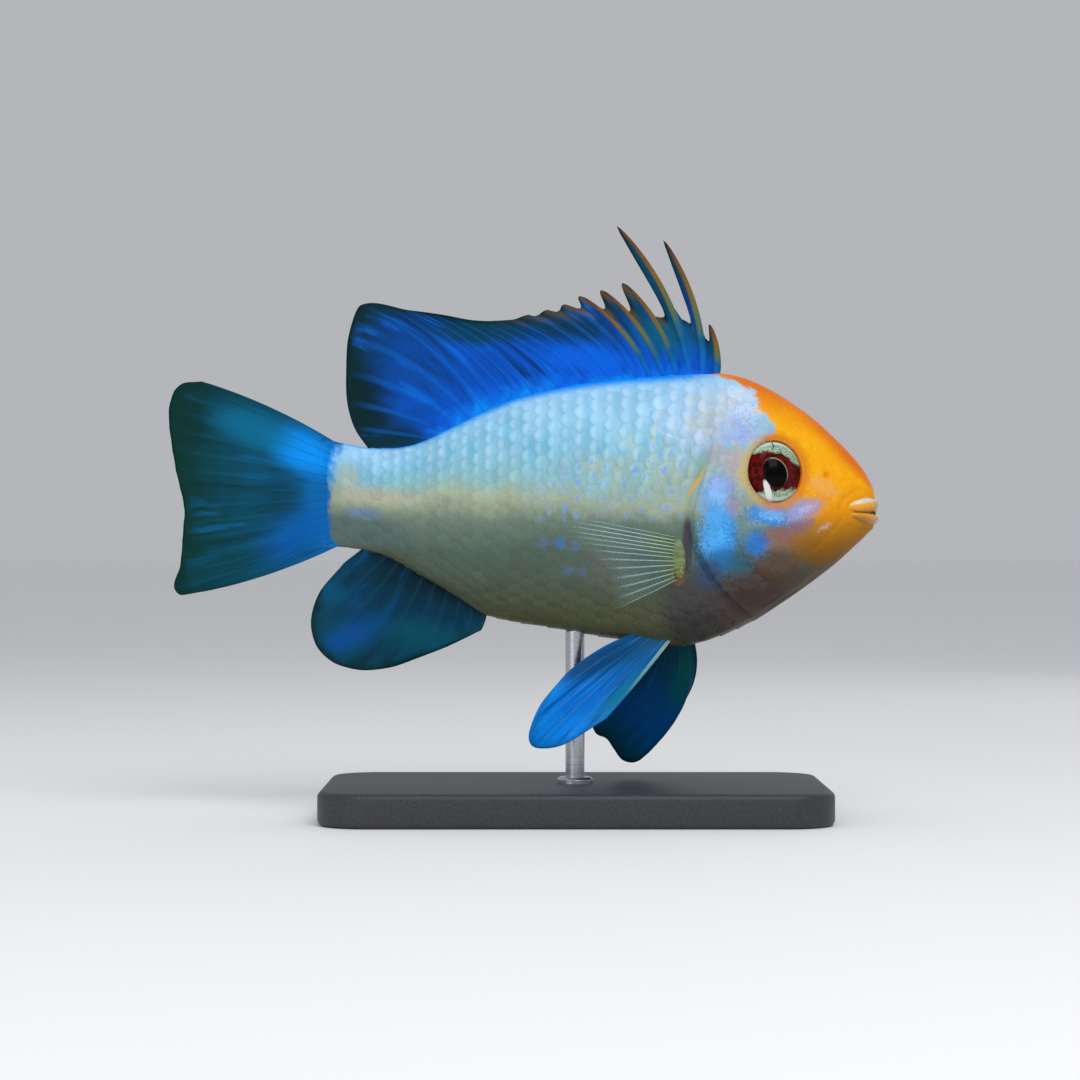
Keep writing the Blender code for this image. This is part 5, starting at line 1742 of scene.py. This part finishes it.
@dataclass(frozen=True)
class DisplayStand:
    """The flat base and the rod that carries the fish."""

    body: Body
    length: float = 42.0
    width: float = 24.0
    height: float = 2.8
    corner: float = 4.0
    edge: float = 0.5
    rod_at: float = 4.5
    rod_radius: float = 0.8
    collar_radius: float = 1.5
    collar_height: float = 0.5
    chamfer: float = 0.2
    rod_sink: float = 0.8
    rod_reach: float = 0.4

    def turned(self, name: str, outline: Line) -> Piece:
        """A round piece on the rod's axis.

        Args:
            name: The piece's name.
            outline: Radius and height of its outline from top to bottom, closed on the axis.

        Returns:
            The new object.
        """
        radii, heights = np.array(outline, float).T
        way = np.append(0, np.cumsum(np.hypot(np.diff(radii), np.diff(heights))))
        way /= way[-1]

        def form(share: Array, angle: Array) -> Array:
            """Points of the turned outline."""
            radius = np.interp(share, way, radii)
            height = np.interp(share, way, heights) - AXIS_HEIGHT
            return np.stack([self.rod_at + radius * np.cos(angle), radius * np.sin(angle), height], -1)

        piece = Modeller.ball(name, 64, 160, form)
        bpy.ops.object.shade_smooth_by_angle(angle=math.radians(40))
        return piece

    def build_base(self) -> Piece:
        """The base, with round corners and softened edges."""
        base = Modeller.add("stand_base_satin", bpy.ops.mesh.primitive_cube_add, size=1.0)
        at = Modeller.corners(base) * (self.length, self.width, self.height)
        Modeller.place(base, at + (self.rod_at, 0, self.height / 2 - AXIS_HEIGHT))
        for edge in base.data.edges:
            low, high = (base.data.vertices[i].co.z for i in edge.vertices)
            edge.select = abs(high - low) > self.height * MM / 2
        for part in (base.data.polygons, base.data.vertices):
            for item in part:
                item.select = False
        bpy.context.tool_settings.mesh_select_mode = (False, True, False)
        bpy.ops.object.mode_set(mode="EDIT")
        bpy.ops.mesh.bevel(offset=self.corner * MM, segments=20, profile=0.5)
        bpy.ops.object.mode_set(mode="OBJECT")
        soft = base.modifiers.new("soft edge", "BEVEL")
        soft.width = self.edge * MM
        soft.segments = 5
        soft.limit_method = "ANGLE"
        soft.angle_limit = math.radians(60)
        Modeller.apply(base, soft)
        bpy.ops.object.shade_smooth_by_angle(angle=math.radians(30))
        graph = Graph("stand base", Specular_IOR_Level=0.5)
        grain = graph.noise(5.0, 5.0)
        colour = graph.mix(grain.rise(0.3, 0.7), rgb(38, 40, 44), rgb(54, 56, 60))
        graph.bump(graph.noise(14.0, 2.0), 0.02)
        graph.dress(base, Base_Color=colour, Roughness=grain * 0.2 + 0.38)
        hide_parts("stand_base")
        return base

    def build_rod(self) -> Piece:
        """The rod, from inside the base to the belly's skin."""
        top = AXIS_HEIGHT + float(self.body.belly(self.rod_at)) + self.rod_reach
        foot = self.height - self.rod_sink
        wide, narrow = self.rod_radius, self.rod_radius - self.chamfer
        rod = self.turned("stand_rod_steel", (
            (0, top), (wide * 0.8, top), (wide, top - self.chamfer), (wide, foot + self.chamfer), (narrow, foot),
            (0, foot)))
        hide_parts("stand_rod")
        self.dress_steel(rod, "rod steel")
        return rod

    def build_collar(self) -> Piece:
        """The small collar where the rod enters the base."""
        low, high = self.height - 0.1, self.height + self.collar_height
        wide, narrow = self.collar_radius, self.collar_radius - self.chamfer
        collar = self.turned("stand_collar", (
            (0, high), (self.rod_radius, high), (narrow, high), (wide, high - self.chamfer), (wide, low), (0, low)))
        self.dress_steel(collar, "collar steel")
        return collar

    def dress_steel(self, piece: Piece, name: str) -> None:
        """Brushed steel with fine lines round the piece."""
        graph = Graph(name, Metallic=1.0)
        lines = graph.noise(1.0, 3.0, graph.join(graph.x * 0.4, graph.y * 0.4, graph.z * 14.0))
        colour = graph.mix(lines, rgb(196, 198, 204), rgb(168, 170, 176))
        graph.bump(lines, 0.008)
        graph.dress(piece, Base_Color=colour, Roughness=lines * 0.2 + 0.18)

    def build(self) -> list[Piece]:
        """Base, rod and collar."""
        return [self.build_base(), self.build_rod(), self.build_collar()]


@dataclass(frozen=True)
class Lamp:
    """A square soft light aimed at the fish."""

    name: str
    place: tuple[float, float, float]
    size: float
    power: float


@dataclass(frozen=True)
class Studio:
    """Floor, soft lights, background and the camera, which looks straight at the fish's right side."""

    image_middle: tuple[float, float] = (1.57, 23.13)
    image_width: float = 90.5
    lens: float = 100.0
    sensor: float = 36.0
    lamps: tuple[Lamp, ...] = (
        Lamp("key softbox", (60, -210, 230), 180, 0.4),
        Lamp("top softbox", (-20, 20, 240), 200, 0.07),
        Lamp("front fill", (-160, -230, 60), 160, 0.09),
        Lamp("rim light", (140, 200, 120), 120, 0.03))
    backdrop: Colour = rgb(206, 208, 212)
    floor_colour: Colour = rgb(251, 251, 251)
    world_strength: float = 0.74
    floor_size: float = 6.0
    floor_faces: int = 24
    floor_shade: float = 0.985

    def build_camera(self) -> None:
        """The camera, level with the middle of the photograph."""
        data = bpy.data.cameras.new("camera")
        data.lens = self.lens
        data.sensor_width = self.sensor
        data.clip_start = 0.01
        camera = bpy.data.objects.new("camera", data)
        bpy.context.scene.collection.objects.link(camera)
        distance = self.image_width * self.lens / self.sensor
        camera.location = (self.image_middle[0] * MM, -distance * MM, self.image_middle[1] * MM)
        camera.rotation_euler = (math.pi / 2, 0, 0)
        bpy.context.scene.camera = camera

    def build_lights(self) -> None:
        """The softboxes and the even light of the background."""
        target = Vector((0, 0, AXIS_HEIGHT * MM))
        for lamp in self.lamps:
            data = bpy.data.lights.new(lamp.name, "AREA")
            data.size = lamp.size * MM
            data.energy = lamp.power
            made = bpy.data.objects.new(lamp.name, data)
            made.location = Vector(lamp.place) * MM
            made.rotation_euler = (target - made.location).to_track_quat("-Z", "Y").to_euler()
            bpy.context.scene.collection.objects.link(made)
        world = bpy.data.worlds.new("studio")
        world.use_nodes = True
        background = world.node_tree.nodes["Background"]
        background.inputs[0].default_value = (*self.backdrop, 1.0)
        background.inputs[1].default_value = self.world_strength
        bpy.context.scene.world = world

    def build_floor(self) -> None:
        """A wide pale floor with a faint mottle."""
        floor = Modeller.add("studio_floor", bpy.ops.mesh.primitive_grid_add, x_subdivisions=self.floor_faces,
                             y_subdivisions=self.floor_faces, size=self.floor_size)
        graph = Graph("studio floor")
        mottle = graph.noise(0.05, 3.0)
        shaded = tuple(channel * self.floor_shade for channel in self.floor_colour)
        colour = graph.mix(mottle, self.floor_colour, shaded)
        graph.dress(floor, Base_Color=colour, Roughness=mottle * 0.1 + 0.6)

    def build(self) -> None:
        """The whole studio."""
        self.build_camera()
        self.build_lights()
        self.build_floor()
        bpy.context.scene.view_settings.view_transform = "Standard"


def triangles(obj: Piece) -> int:
    """Number of triangles of a mesh."""
    return sum(len(polygon.vertices) - 2 for polygon in obj.data.polygons)


def main() -> None:
    """Builds every piece and the studio."""
    logging.basicConfig(level=logging.INFO, format="%(message)s")
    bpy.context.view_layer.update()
    body, paint = Body(), BodyPaint()
    skin = Skin(body, paint)
    pieces = [skin.build(), ScaleCoat(body, skin, paint).build()]
    pieces += [
        # Painted shade: the upper lip darkens to near black on its underside over the mouth's slit, and the lower
        # lip darkens at its top, where it tucks under the upper lip.
        Lip("upper_lip", (29.28, -0.03), (26.95, 2.25, -0.25), 0.76, 0.76, stops(
            (-1.1, 48, 50, 22), (-0.85, 120, 86, 18), (-0.5, 176, 118, 14), (-0.1, 236, 156, 8), (0.3, 242, 168, 24),
            (0.5, 218, 214, 194), (1.1, 208, 208, 202))).build(),
        Lip("lower_lip", (29.34, -1.22), (27.1, 2.15, -0.8), 0.5, 1.04, stops(
            (-1.1, 146, 96, 14), (-0.5, 176, 116, 14), (0.0, 224, 146, 10), (0.5, 222, 152, 40), (0.8, 150, 120, 50),
            (1.1, 60, 54, 24))).build()]
    for side in Side:
        pieces += Eye(body, side).build()
        pieces.append(FinLobe(body, side).build())
    pieces += FinSet(body).build()
    pieces += DisplayStand(body).build()
    for piece in pieces:
        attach(piece, "root")
        LOG.info("%s: %d triangles", piece.name, triangles(piece))
    Studio().build()


if __name__ == "__main__":
    main()
